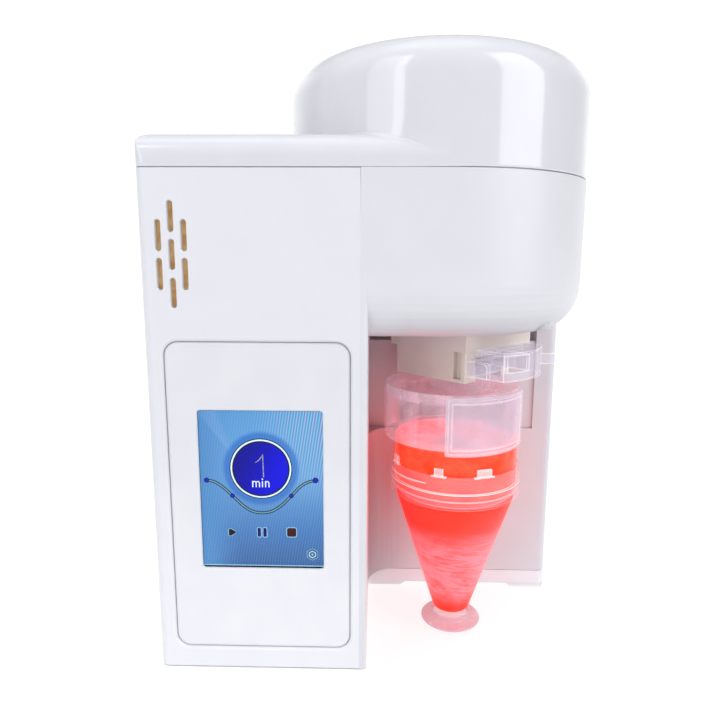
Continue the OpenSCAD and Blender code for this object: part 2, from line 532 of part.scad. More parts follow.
module cup_cap() color([0.95, 0.78, 0.82, 0.6]) {
    at_cap() {
        // shroud
        ring(105, 131, 33.3, 32.2);
        // deck inside the shroud
        cyl(0, 0, 126, 127.8, 32.3);
    }
    // boss up to the clip
    at_cup() plan(rr(-13, 13, mid_v-9.9, mid_v+9.9, 3), 127.7, 135.5);
}
module label_plate() color([0.93, 0.85, 0.9, 0.6]) at_cap() difference() {
    rotate(-101) rotate_extrude(angle = 83) polygon([[33.35, 103], [34.5, 103], [34.5, 130.5], [33.35, 130.5]]);
    // plain writing field inside a raised rim
    rotate(-97.5) rotate_extrude(angle = 76) polygon([[34.1, 106.4], [35, 106.4], [35, 128.4], [34.1, 128.4]]);
}
module cup_neck() color([1, 0.55, 0.5, 0.6]) translate([cup_x, cup_y, 0]) {
    // tube with a wider shoulder between the collar and the shroud
    rotate_extrude() polygon([
        [28.2, 80.6], [29.6, 80.6], [29.6, 92.6], [30.3, 93.1], [30.3, 104.1], [29.9, 104.5], [29.2, 104.7],
        [29.2, 125.9], [28.2, 125.9], [28.2, 104.4], [29.3, 103.4], [29.3, 94.2], [28.2, 93.2]]);
    for (z = [82.5, 86, 89.5]) ring(z, z+1.3, 30.05, 29.5);
}
module cup_vessel() color([1, 0.5, 0.48, 0.6]) translate([cup_x, cup_y, 0]) {
    rotate_extrude() polygon([
        [0, 4], [foot_r-0.8, 4], [foot_r, 4.5], [foot_r-0.4, 5.5], [8.4, 5.9], [8.4, 9.2], [tip_r, 10],
        [cone_r, 75.7], [collar_r-1.2, 76.2], [collar_r, 77.2], [collar_r, 79.6], [collar_r-0.6, 80.2], [collar_r-0.6, 83.6],
        [collar_r-0.2, 83.8], [collar_r-0.2, 84.6], [collar_r-0.7, 84.8], [collar_r-0.7, 92.3],
        [collar_r-1.6, 92.3], [collar_r-1.7, 79.4], [collar_r-2, 78], [28.4, 77.7], [28.4, 76.7], [cone_r-1.1, 74.6], [tip_r-1.1, 11.4], [0, 9.6]]);
    // lugs that help the hand turn the collar
    for (l = [[-111, 2.2], [-72, 3.7], [18, 2.2], [108, 3.7], [198, 2.2]]) rotate(l[0]) box(collar_r-1.6, collar_r-0.4, -l[1], l[1], 92.2, 96.3);
}
module cup_gasket() color("#f4f4f0") translate([cup_x, cup_y, 0]) ring(78.1, 80.2, 29.9, 28.5);
module cup_liquid() color([1, 0.2, 0.08, 0.9]) translate([cup_x, cup_y, 0]) rotate_extrude() polygon([
    [0, 9.8], [tip_r-1.35, 11.6], [cone_r-1.3, 74.4], [28.15, 76.5], [28.15, 78], [27.9, 78.3],
    [27.9, 93.7], [29, 94.7], [29, 102.9], [27.9, 103.9], [27.9, liquid_z], [0, liquid_z]]);

main_housing();
front_panel();
top_cover();
base_tray();
rubber_feet();
base_screws();
cover_screws();
front_screws();
panel_bezel();
touch_glass();
lcd_module();
display_board();
display_screws();
control_board();
board_screws();
ribbon_cable();
motor_cable();
speaker_cloth();
speaker_frame();
speaker_cone();
speaker_magnet();
power_inlet();
switch_body();
switch_rocker();
power_leads();
motor_deck();
deck_screws();
motor_can();
motor_stator();
motor_bearings();
motor_screws();
motor_rotor();
motor_shaft();
eccentric_hub();
hub_setscrew();
deck_bearings();
idler_crank_left();
idler_crank_right();
orbit_plate();
plate_bearing();
idler_bearings();
carrier_block();
carrier_screws();
slide_clip();
cup_cap();
label_plate();
cup_neck();
cup_vessel();
cup_gasket();
cup_liquid();
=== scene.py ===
import bpy
import bmesh
import math
import random
from mathutils import Matrix, Vector


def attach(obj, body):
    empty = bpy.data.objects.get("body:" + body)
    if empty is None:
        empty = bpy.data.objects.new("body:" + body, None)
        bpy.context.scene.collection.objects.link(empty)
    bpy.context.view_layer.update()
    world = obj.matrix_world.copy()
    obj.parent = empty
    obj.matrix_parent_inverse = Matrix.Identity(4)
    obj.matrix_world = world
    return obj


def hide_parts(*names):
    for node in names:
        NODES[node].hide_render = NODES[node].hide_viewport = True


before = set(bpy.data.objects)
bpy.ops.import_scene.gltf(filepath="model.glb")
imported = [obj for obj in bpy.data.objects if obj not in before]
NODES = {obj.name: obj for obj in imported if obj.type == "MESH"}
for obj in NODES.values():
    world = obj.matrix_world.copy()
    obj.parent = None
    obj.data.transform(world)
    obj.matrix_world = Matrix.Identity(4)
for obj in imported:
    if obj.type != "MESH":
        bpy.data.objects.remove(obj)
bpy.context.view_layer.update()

random.seed(7)
MM = 0.001

# ------------------------------------------------------------------ sizes, mm
X0, X1, Y0, Y1 = -97.5, 97.5, -70.5, 70.5
XC = -5.5
YR = 20.1
DX, DR = 27.0, 70.5
WALL = 2.8
TRAY_Z, FLOOR_Z, PART_Z, CAP_Z, DOME_Z = 10.9, 158.2, 226.3, 240.0, 278.0
SEAM_X = -8.8
BX0, BX1, BZ0, BZ1, BR = -89.4, -12.8, 20.7, 157.4, 6.0
SX0, SX1, SZ0, SZ1 = -76.9, -24.2, 58.0, 128.6
CUP = (38.3, -17.1)
CAPC = (35.6, -16.3)
SLOTS = [(8.3, 193.9, 206.3), (8.3, 178.5, 191.2), (13.5, 201.4, 213.6), (13.5, 186.5, 198.6),
         (13.5, 171.3, 183.3), (18.6, 193.9, 206.3), (18.6, 178.5, 191.2)]

# ------------------------------------------------------------------ camera
YAW, PITCH, ROLL = 0.0213, 0.1719, 0.0046
fwd = Vector((-math.sin(YAW) * math.cos(PITCH), math.cos(YAW) * math.cos(PITCH), -math.sin(PITCH)))
right = Vector((math.cos(YAW), math.sin(YAW), 0))
up = right.cross(fwd)
cam_r = right * math.cos(ROLL) + up * math.sin(ROLL)
cam_u = up * math.cos(ROLL) - right * math.sin(ROLL)
cam_data = bpy.data.cameras.new("camera")
cam_data.sensor_width = 36
cam_data.lens = 614.95 * 36 / 724
cam_data.clip_start, cam_data.clip_end = 0.01, 50
cam = bpy.data.objects.new("camera", cam_data)
bpy.context.scene.collection.objects.link(cam)
cam.matrix_world = Matrix((
    (cam_r.x, cam_u.x, -fwd.x, -2.66 * MM),
    (cam_r.y, cam_u.y, -fwd.y, -317.01 * MM),
    (cam_r.z, cam_u.z, -fwd.z, 192.65 * MM),
    (0, 0, 0, 1)))
bpy.context.scene.camera = cam
bpy.context.scene.view_settings.view_transform = "Standard"

# ------------------------------------------------------------------ node helpers


class G:
    """A small builder for one node tree."""

    def __init__(self, tree):
        self.t = tree

    def n(self, kind, **vals):
        node = self.t.nodes.new(kind)
        for k, v in vals.items():
            if hasattr(node, k):
                setattr(node, k, v)
            else:
                node.inputs[k.replace("_", " ")].default_value = v
        return node

    def l(self, a, b):
        self.t.links.new(a, b)

    def set(self, sock, v):
        if hasattr(v, "is_linked"):
            self.l(v, sock)
        else:
            sock.default_value = v

    def math(self, op, a, b=None, c=None, clamp=False):
        node = self.t.nodes.new("ShaderNodeMath")
        node.operation = op
        node.use_clamp = clamp
        self.set(node.inputs[0], a)
        if b is not None:
            self.set(node.inputs[1], b)
        if c is not None:
            self.set(node.inputs[2], c)
        return node.outputs[0]

    def vmath(self, op, a, b=None):
        node = self.t.nodes.new("ShaderNodeVectorMath")
        node.operation = op
        self.set(node.inputs[0], a)
        if b is not None:
            self.set(node.inputs[1], b)
        return node.outputs["Value"] if op in ("DOT_PRODUCT", "LENGTH", "DISTANCE") else node.outputs["Vector"]

    def mix(self, fac, a, b, blend="MIX"):
        node = self.t.nodes.new("ShaderNodeMix")
        node.data_type = "RGBA"
        node.blend_type = blend
        self.set(node.inputs["Factor"], fac)
        self.set(node.inputs[6], a)
        self.set(node.inputs[7], b)
        return node.outputs[2]

    def ramp(self, fac, stops, interp="LINEAR"):
        node = self.t.nodes.new("ShaderNodeValToRGB")
        cr = node.color_ramp
        cr.interpolation = interp
        while len(cr.elements) < len(stops):
            cr.elements.new(0.5)
        for e, (p, c) in zip(cr.elements, stops):
            e.position = p
            e.color = c if len(c) == 4 else (*c, 1)
        self.set(node.inputs["Fac"], fac)
        return node.outputs["Color"]

    def smooth(self, v, lo, hi, a=0.0, b=1.0):
        node = self.t.nodes.new("ShaderNodeMapRange")
        node.interpolation_type = "SMOOTHSTEP"
        self.set(node.inputs["Value"], v)
        node.inputs["From Min"].default_value = lo
        node.inputs["From Max"].default_value = hi
        node.inputs["To Min"].default_value = a
        node.inputs["To Max"].default_value = b
        return node.outputs["Result"]

    def noise(self, vec, scale, detail=3.0, rough=0.5, dist=0.0):
        node = self.t.nodes.new("ShaderNodeTexNoise")
        self.set(node.inputs["Vector"], vec)
        node.inputs["Scale"].default_value = scale
        node.inputs["Detail"].default_value = detail
        node.inputs["Roughness"].default_value = rough
        node.inputs["Distortion"].default_value = dist
        return node.outputs["Fac"]

    def obj(self):
        return self.t.nodes.new("ShaderNodeTexCoord").outputs["Object"]

    def xyz(self, v):
        node = self.t.nodes.new("ShaderNodeSeparateXYZ")
        self.l(v, node.inputs[0])
        return node.outputs[0], node.outputs[1], node.outputs[2]

    def scale(self, v, s):
        node = self.t.nodes.new("ShaderNodeMapping")
        self.l(v, node.inputs["Vector"])
        node.inputs["Scale"].default_value = s
        return node.outputs["Vector"]


def lin(h):
    """'#rrggbb' as linear colour."""
    out = []
    for i in (1, 3, 5):
        c = int(h[i:i + 2], 16) / 255
        out.append(c / 12.92 if c <= 0.04045 else ((c + 0.055) / 1.055) ** 2.4)
    return (*out, 1.0)


def dim(c, k):
    return (c[0] * k, c[1] * k, c[2] * k, 1.0)


def new_mat(name):
    m = bpy.data.materials.new(name)
    m.use_nodes = True
    m.node_tree.nodes.clear()
    g = G(m.node_tree)
    bsdf = g.n("ShaderNodeBsdfPrincipled")
    out = g.n("ShaderNodeOutputMaterial")
    g.l(bsdf.outputs[0], out.inputs["Surface"])
    return m, g, bsdf


def edge_mask(g, radius, gain):
    """1 on rounded edges, 0 on flat faces, from the difference between the bevelled and the plain normal."""
    bev = g.n("ShaderNodeBevel", samples=4)
    bev.inputs["Radius"].default_value = radius
    geo = g.n("ShaderNodeNewGeometry")
    dot = g.vmath("DOT_PRODUCT", bev.outputs[0], geo.outputs["Normal"])
    return g.math("MULTIPLY", g.math("SUBTRACT", 1.0, dot), gain, clamp=True)


def plastic(name, colour, second, rough, bevel=0.0004, grain=0.00001, grain_scale=900.0, coat=0.0, coat_rough=0.06,
            var_scale=60.0, rough_var=0.05, spec=0.5, ior=1.46, sss=0.0, keep_out=None, painted_shade_zones=()):
    """Moulded plastic: slow colour drift, fine moulded grain and softly rounded edges, with optional zones of painted
    shade.
    """
    m, g, b = new_mat(name)
    o = g.obj()
    drift = g.noise(o, var_scale, 4.0, 0.55)
    base = g.mix(g.smooth(drift, 0.3, 0.7), colour, second)
    if painted_shade_zones:
        # painted shade: places where the colour is darkened to stand in for shade: (x, y, z) ramps and the colour to
        # multiply by
        x, y, z = g.xyz(o)
        for xr, yr, zr, shade_tone in painted_shade_zones:
            shade_mask = None
            for v, r in ((x, xr), (y, yr), (z, zr)):
                for i in range(0, len(r), 2):
                    step = g.smooth(v, r[i], r[i + 1])
                    shade_mask = step if shade_mask is None else g.math("MULTIPLY", shade_mask, step)
            shade_mix = g.n("ShaderNodeMix", data_type="RGBA", blend_type="MULTIPLY")
            g.l(shade_mask, shade_mix.inputs["Factor"])
            g.l(base, shade_mix.inputs[6])
            shade_mix.inputs[7].default_value = shade_tone
            base = shade_mix.outputs[2]
    g.l(base, b.inputs["Base Color"])
    patch = g.noise(o, var_scale * 3.1, 5.0, 0.6)
    g.l(g.smooth(patch, 0.25, 0.75, max(rough - rough_var, 0.02), rough + rough_var), b.inputs["Roughness"])
    b.inputs["IOR"].default_value = ior
    b.inputs["Specular IOR Level"].default_value = spec
    if coat:
        b.inputs["Coat Weight"].default_value = coat
        b.inputs["Coat Roughness"].default_value = coat_rough
    if sss:
        b.inputs["Subsurface Weight"].default_value = sss
        b.inputs["Subsurface Radius"].default_value = (0.003, 0.002, 0.0015)
    bump = g.n("ShaderNodeBump")
    bump.inputs["Strength"].default_value = 0.35
    bump.inputs["Distance"].default_value = grain
    g.l(g.noise(o, grain_scale, 2.0, 0.5), bump.inputs["Height"])
    if bevel:
        bev = g.n("ShaderNodeBevel", samples=4)
        bev.inputs["Radius"].default_value = bevel
        if keep_out:
            # edges near this upright line and below this height stay crisp
            x, y, z = g.xyz(o)
            near = g.math("MULTIPLY", g.math("MULTIPLY", g.smooth(g.math("ABSOLUTE", g.math("SUBTRACT", x, keep_out[0] * MM)), 0.0020, 0.0012),
                                             g.smooth(y, keep_out[1] * MM + 0.006, keep_out[1] * MM + 0.004)), g.smooth(z, keep_out[2] * MM, (keep_out[2] - 8) * MM))
            g.l(g.math("MULTIPLY", g.math("SUBTRACT", 1.0, near), bevel), bev.inputs["Radius"])
        g.l(bev.outputs[0], bump.inputs["Normal"])
    g.l(bump.outputs[0], b.inputs["Normal"])
    return m


def metal(name, colour, second, rough, scale=(1, 1, 60), bevel=0.0003):
    """Turned or rolled metal: brushed streaks that vary the roughness, with darker flecks."""
    m, g, b = new_mat(name)
    o = g.obj()
    streak = g.noise(g.scale(o, scale), 220.0, 4.0, 0.6)
    g.l(g.mix(streak, colour, second), b.inputs["Base Color"])
    g.l(g.smooth(streak, 0.2, 0.8, rough * 0.7, rough * 1.35), b.inputs["Roughness"])
    b.inputs["Metallic"].default_value = 1.0
    bump = g.n("ShaderNodeBump")
    bump.inputs["Strength"].default_value = 0.25
    bump.inputs["Distance"].default_value = 0.00002
    g.l(streak, bump.inputs["Height"])
    bev = g.n("ShaderNodeBevel", samples=4)
    bev.inputs["Radius"].default_value = bevel
    g.l(bev.outputs[0], bump.inputs["Normal"])
    g.l(bump.outputs[0], b.inputs["Normal"])
    return m


def clear(name, colour, cloudy, rough, alpha, edge_alpha=0.85, edge_r=0.0006, edge_gain=2.4, cloud_scale=90.0, rim_highlight=(1, 1, 1, 1),
          glow=0.0, pebble=0.00002, spec=0.35, vary=0.3, bands=None, shine=0.0):
    """Clear moulded plastic: a thin milky veil, cloudy in patches, dense pale rims of painted highlight where light
    gathers at the edges, and an optional painted glow.
    """
    m, g, b = new_mat(name)
    o = g.obj()
    cloud = g.noise(o, cloud_scale, 5.0, 0.62, 0.4)
    edge = edge_mask(g, edge_r, edge_gain)
    tint = g.mix(g.smooth(cloud, 0.35, 0.7), colour, cloudy)
    # painted highlight: the rounded edges are whitened towards the rim colour
    g.l(g.mix(edge, tint, rim_highlight), b.inputs["Base Color"])
    g.l(g.smooth(cloud, 0.3, 0.75, rough * 0.75, min(rough * 1.5, 1.0)), b.inputs["Roughness"])
    veil = g.smooth(cloud, 0.3, 0.75, alpha * (1 - vary), alpha * (1 + vary))
    if bands:
        # upright bands round an axis, as flow lines of the moulding
        x, y, z = g.xyz(o)
        ang = g.math("ARCTAN2", g.math("SUBTRACT", y, bands[1] * MM), g.math("SUBTRACT", x, bands[0] * MM))
        comb = g.n("ShaderNodeCombineXYZ")
        g.l(g.math("MULTIPLY", g.math("COSINE", ang), 0.03), comb.inputs[0])
        g.l(g.math("MULTIPLY", g.math("SINE", ang), 0.03), comb.inputs[1])
        g.l(g.math("MULTIPLY", z, 0.06), comb.inputs[2])
        veil = g.math("MULTIPLY", veil, g.smooth(g.noise(comb.outputs[0], 150.0, 2.0, 0.6), 0.35, 0.65, 0.72, 1.35))
    op = g.math("ADD", g.math("MULTIPLY", veil, g.math("SUBTRACT", 1.0, edge)), g.math("MULTIPLY", edge, edge_alpha), clamp=True)
    g.l(op, b.inputs["Alpha"])
    b.inputs["IOR"].default_value = 1.46
    b.inputs["Specular IOR Level"].default_value = spec
    # painted glow: the edges glow in the rim colour (glow) and the whole part faintly in its cloudy colour (shine)
    if glow:
        g.l(g.mix(edge, cloudy, rim_highlight), b.inputs["Emission Color"])
        g.l(g.math("ADD", g.math("MULTIPLY", edge, glow), shine), b.inputs["Emission Strength"])
    bump = g.n("ShaderNodeBump")
    bump.inputs["Strength"].default_value = 0.3
    bump.inputs["Distance"].default_value = pebble
    g.l(g.noise(o, 700.0, 3.0, 0.55), bump.inputs["Height"])
    bev = g.n("ShaderNodeBevel", samples=4)
    bev.inputs["Radius"].default_value = edge_r * 0.7
    g.l(bev.outputs[0], bump.inputs["Normal"])
    g.l(bump.outputs[0], b.inputs["Normal"])
    return m


def cup_material():
    """Clear screw cup: almost nothing on the cone, a satin veil on the collar with painted highlight rims, and a milky
    pink foot.
    """
    m, g, b = new_mat("cup_clear")
    o = g.obj()
    x, y, z = g.xyz(o)
    cloud = g.noise(o, 70.0, 5.0, 0.6, 0.4)
    edge = edge_mask(g, 0.0003, 1.2)
    collar = g.smooth(z, 0.0755, 0.0768)
    foot = g.smooth(z, 0.0094, 0.0080)
    bead = g.math("MULTIPLY", g.smooth(z, 0.08385, 0.0840), g.smooth(z, 0.0844, 0.08425))
    lip = g.math("MULTIPLY", g.smooth(z, 0.0777, 0.0779), g.smooth(z, 0.0782, 0.0780))
    ledge = g.math("MULTIPLY", g.smooth(z, 0.0801, 0.08025), g.smooth(z, 0.0807, 0.08055))
    skirt = g.math("MULTIPLY", g.smooth(z, 0.0764, 0.07655), g.smooth(z, 0.0769, 0.07675))
    # painted highlight: bright lines on the rounded edges and on the bead, lip, ledge and skirt of the collar, weaker
    # away from the collar and foot
    line = g.math("MAXIMUM", edge, g.math("MAXIMUM", g.math("MULTIPLY", bead, 0.95), g.math("MULTIPLY", lip, 0.25)))
    line = g.math("MAXIMUM", line, g.math("MAXIMUM", g.math("MULTIPLY", ledge, 0.5), g.math("MULTIPLY", skirt, 0.4)))
    line = g.math("MULTIPLY", line, g.math("ADD", 0.25, g.math("MAXIMUM", g.math("MULTIPLY", collar, 0.75), g.math("MULTIPLY", foot, 0.6))), clamp=True)
    veil = g.mix(collar, g.mix(foot, (1.0, 0.42, 0.40, 1), (0.66, 0.33, 0.43, 1)), (0.88, 0.50, 0.56, 1))
    g.l(g.mix(line, veil, (1.0, 0.95, 0.96, 1)), b.inputs["Base Color"])
    body = g.math("ADD", 0.035, g.math("ADD", g.math("MULTIPLY", collar, 0.13), g.math("MULTIPLY", foot, 0.42)))
    body = g.math("MULTIPLY", body, g.smooth(cloud, 0.3, 0.75, 0.8, 1.2))
    g.l(g.math("ADD", g.math("MULTIPLY", body, g.math("SUBTRACT", 1.0, line)), g.math("MULTIPLY", line, 0.78), clamp=True), b.inputs["Alpha"])
    g.l(g.smooth(cloud, 0.3, 0.75, 0.14, 0.26), b.inputs["Roughness"])
    b.inputs["Specular IOR Level"].default_value = 0.35
    # painted glow along the same highlight lines
    b.inputs["Emission Color"].default_value = (1.0, 0.93, 0.95, 1)
    g.l(g.math("MULTIPLY", line, 0.35), b.inputs["Emission Strength"])
    bump = g.n("ShaderNodeBump")
    bump.inputs["Strength"].default_value = 0.3
    bump.inputs["Distance"].default_value = 0.00002
    g.l(g.noise(o, 600.0, 3.0, 0.55), bump.inputs["Height"])
    g.l(bump.outputs[0], b.inputs["Normal"])
    return m


# ------------------------------------------------------------------ materials
M = {}
# painted shade on the housing: the rear wall low down beside the column, fading out to the right and upward, is
# multiplied by 0.68; the drum's underside in front of the rear wall, below z 159 mm, is multiplied by 0.80
M["housing"] = plastic("housing_satin", lin("#cfd0d6"), lin("#cdced4"), 0.34, grain=0.000006, coat=0.2, coat_rough=0.2, rough_var=0.012, bevel=0.0004, keep_out=(SEAM_X, Y0, 226),
                       painted_shade_zones=[((0.0205, -0.0052, -0.0075, -0.0065), (-0.012, 0.012, 0.045, 0.035), (0.112, 0.066), (0.68, 0.66, 0.67, 1)), ((-0.006, 0.012), (0.03, -0.01), (0.1725, 0.159), (0.80, 0.79, 0.80, 1))])
# painted shade on the front panel: darkened to 0.90 from z 30 mm up to z 135 mm and above, so its lower part reads
# lighter as the light falls
M["panel"] = plastic("panel_satin", lin("#dddee4"), lin("#dbdce2"), 0.40, grain=0.000006, rough_var=0.012, keep_out=(SEAM_X, Y0, 224), painted_shade_zones=[((-1, -0.9), (-1, -0.9), (0.03, 0.135), (0.90, 0.90, 0.905, 1))])
M["gloss"] = plastic("cover_gloss", lin("#cdced5"), lin("#cbccd3"), 0.16, grain=0.000003, grain_scale=220.0, coat=0.9, coat_rough=0.035, bevel=0.0, rough_var=0.01)
# painted shade on the tray: its rear part right of the column, y 30 to 58 mm, is darkened where shade falls
M["tray"] = plastic("tray_satin", lin("#f5f6f9"), lin("#f3f4f7"), 0.38, rough_var=0.015, painted_shade_zones=[((-0.0065, -0.003), (0.0, 0.03, 0.066, 0.058), (1.0, 0.9), (0.76, 0.76, 0.80, 1))])
# painted shade on the bezel: darkened to 0.895 from z 30 mm up to z 130 mm and above, so it reads lighter low down,
# like the panel
M["bezel"] = plastic("bezel_satin", lin("#dddee3"), lin("#dadbe1"), 0.36, bevel=0.0, rough_var=0.012, painted_shade_zones=[((-1, -0.9), (-1, -0.9), (0.03, 0.13), (0.895, 0.895, 0.90, 1))])
M["carrier"] = plastic("carrier_cream", lin("#e0d5cd"), lin("#dbcfc6"), 0.42, bevel=0.0005, sss=0.05, rough_var=0.02)
M["rubber"] = plastic("foot_rubber", lin("#2e2f32"), lin("#27282b"), 0.75, grain=0.00004)
M["black"] = plastic("black_plastic", lin("#1c1d20"), lin("#222327"), 0.38)
M["board"] = plastic("circuit_board", lin("#1f5a38"), lin("#2a6b45"), 0.32, var_scale=300.0)
M["ribbon"] = plastic("ribbon_grey", lin("#c4c7cd"), lin("#b4b8c0"), 0.5, var_scale=900.0)
M["cable"] = plastic("cable_sheath", lin("#2b2d31"), lin("#34363b"), 0.55)
M["violet"] = plastic("crank_acetal", lin("#7a5fa0"), lin("#866cac"), 0.35)
M["lcd"] = metal("lcd_frame", lin("#b9bcc2"), lin("#9da1a8"), 0.4)
M["steel"] = metal("screw_steel", lin("#a9abb0"), lin("#85888e"), 0.3)
M["bearing"] = metal("bearing_steel", lin("#d3d5d9"), lin("#b2b5bb"), 0.18)
M["alu"] = metal("deck_aluminium", lin("#b9bcc1"), lin("#a3a7ad"), 0.36, scale=(60, 1, 1))
M["motor"] = metal("motor_steel", lin("#8e9299"), lin("#74787f"), 0.34)
M["copper"] = metal("copper_winding", lin("#b06a38"), lin("#8c4a22"), 0.3, scale=(1, 1, 90))
M["brass"] = metal("brass", lin("#c59a3c"), lin("#a77d26"), 0.26)
M["magnet"] = metal("magnet_nickel", lin("#9a9da3"), lin("#7d8086"), 0.25)


def cloth_material():
    """Ochre speaker cloth: two crossing threads, dark pores between them, mottled dye, and a faint painted glow."""
    m, g, b = new_mat("cloth_ochre")
    o = g.obj()
    x, y, z = g.xyz(o)
    wx = g.math("SINE", g.math("MULTIPLY", x, 2 * math.pi / 0.00075))
    wz = g.math("SINE", g.math("MULTIPLY", z, 2 * math.pi / 0.00075))
    weave = g.math("MULTIPLY", wx, wz)
    thread = g.smooth(weave, -0.6, 0.7)
    mottle = g.noise(o, 420.0, 4.0, 0.65)
    dye = g.mix(g.smooth(mottle, 0.35, 0.65), lin("#d09a55"), lin("#f2cf9a"))
    g.l(g.mix(thread, lin("#9a6a34"), dye), b.inputs["Base Color"])
    # painted light: a faint glow in the dye colour lifts the cloth out of the shade behind the slots
    g.l(dye, b.inputs["Emission Color"])
    b.inputs["Emission Strength"].default_value = 0.2
    b.inputs["Roughness"].default_value = 0.9
    b.inputs["Sheen Weight"].default_value = 0.3
    bump = g.n("ShaderNodeBump")
    bump.inputs["Strength"].default_value = 0.9
    bump.inputs["Distance"].default_value = 0.00025
    g.l(g.math("ADD", g.math("MULTIPLY", weave, 0.5), mottle), bump.inputs["Height"])
    g.l(bump.outputs[0], b.inputs["Normal"])
    return m


M["cloth"] = cloth_material()
M["cap"] = clear("cap_clear", (0.74, 0.50, 0.58, 1), (0.84, 0.58, 0.68, 1), 0.24, 0.23, edge_r=0.0006, edge_gain=4.2, rim_highlight=(0.98, 0.88, 0.93, 1), glow=0.28, bands=CAPC, shine=0.26)
M["label"] = clear("label_clear", (0.70, 0.56, 0.66, 1), (0.78, 0.60, 0.72, 1), 0.3, 0.38, edge_r=0.0007, edge_gain=3.0, cloud_scale=45, glow=0.25, vary=0.08, shine=0.12)
M["clip"] = clear("clip_clear", (0.64, 0.58, 0.70, 1), (0.72, 0.66, 0.79, 1), 0.2, 0.20, edge_r=0.0005, edge_gain=5.5, glow=0.34, vary=0.12, shine=0.17)
M["cup"] = cup_material()
M["seal"] = clear("seal_silicone", (1.0, 0.24, 0.2, 1), (1.0, 0.34, 0.3, 1), 0.4, 0.14, edge_alpha=0.22, edge_r=0.0003, edge_gain=1.5, rim_highlight=(1.0, 0.6, 0.6, 1))


def neck_material():
    """Clear neck: carries the red of the sample where the tube stands free, and thins to a faint veil higher up; it has
    a painted glow and painted highlight edges.
    """
    m, g, b = new_mat("neck_clear")
    o = g.obj()
    x, y, z = g.xyz(o)
    cloud = g.noise(o, 85.0, 5.0, 0.62, 0.5)
    low = g.smooth(g.math("ADD", z, g.math("MULTIPLY", g.math("SUBTRACT", cloud, 0.5), 0.008)), 0.1085, 0.1025)
    edge = edge_mask(g, 0.0004, 1.2)
    red = g.mix(g.smooth(cloud, 0.35, 0.7), (1.0, 0.045, 0.012, 1), (1.0, 0.10, 0.05, 1))
    tint = g.mix(low, (0.92, 0.5, 0.56, 1), red)
    # painted highlight: the edges are whitened a little
    g.l(g.mix(g.math("MULTIPLY", edge, 0.35), tint, (1.0, 0.8, 0.8, 1)), b.inputs["Base Color"])
    # painted glow: the neck emits its tint, 0.75 in the red part and 0.25 higher up
    g.l(tint, b.inputs["Emission Color"])
    g.l(g.smooth(low, 0.0, 1.0, 0.25, 0.75), b.inputs["Emission Strength"])
    g.l(g.math("ADD", g.smooth(low, 0.0, 1.0, 0.04, 0.6), g.math("MULTIPLY", edge, 0.15)), b.inputs["Alpha"])
    g.l(g.smooth(cloud, 0.3, 0.75, 0.12, 0.22), b.inputs["Roughness"])
    b.inputs["Specular IOR Level"].default_value = 0.2
    bump = g.n("ShaderNodeBump")
    bump.inputs["Strength"].default_value = 0.25
    bump.inputs["Distance"].default_value = 0.00002
    g.l(g.noise(o, 650.0, 3.0, 0.55), bump.inputs["Height"])
    g.l(bump.outputs[0], b.inputs["Normal"])
    return m


M["neck"] = neck_material()


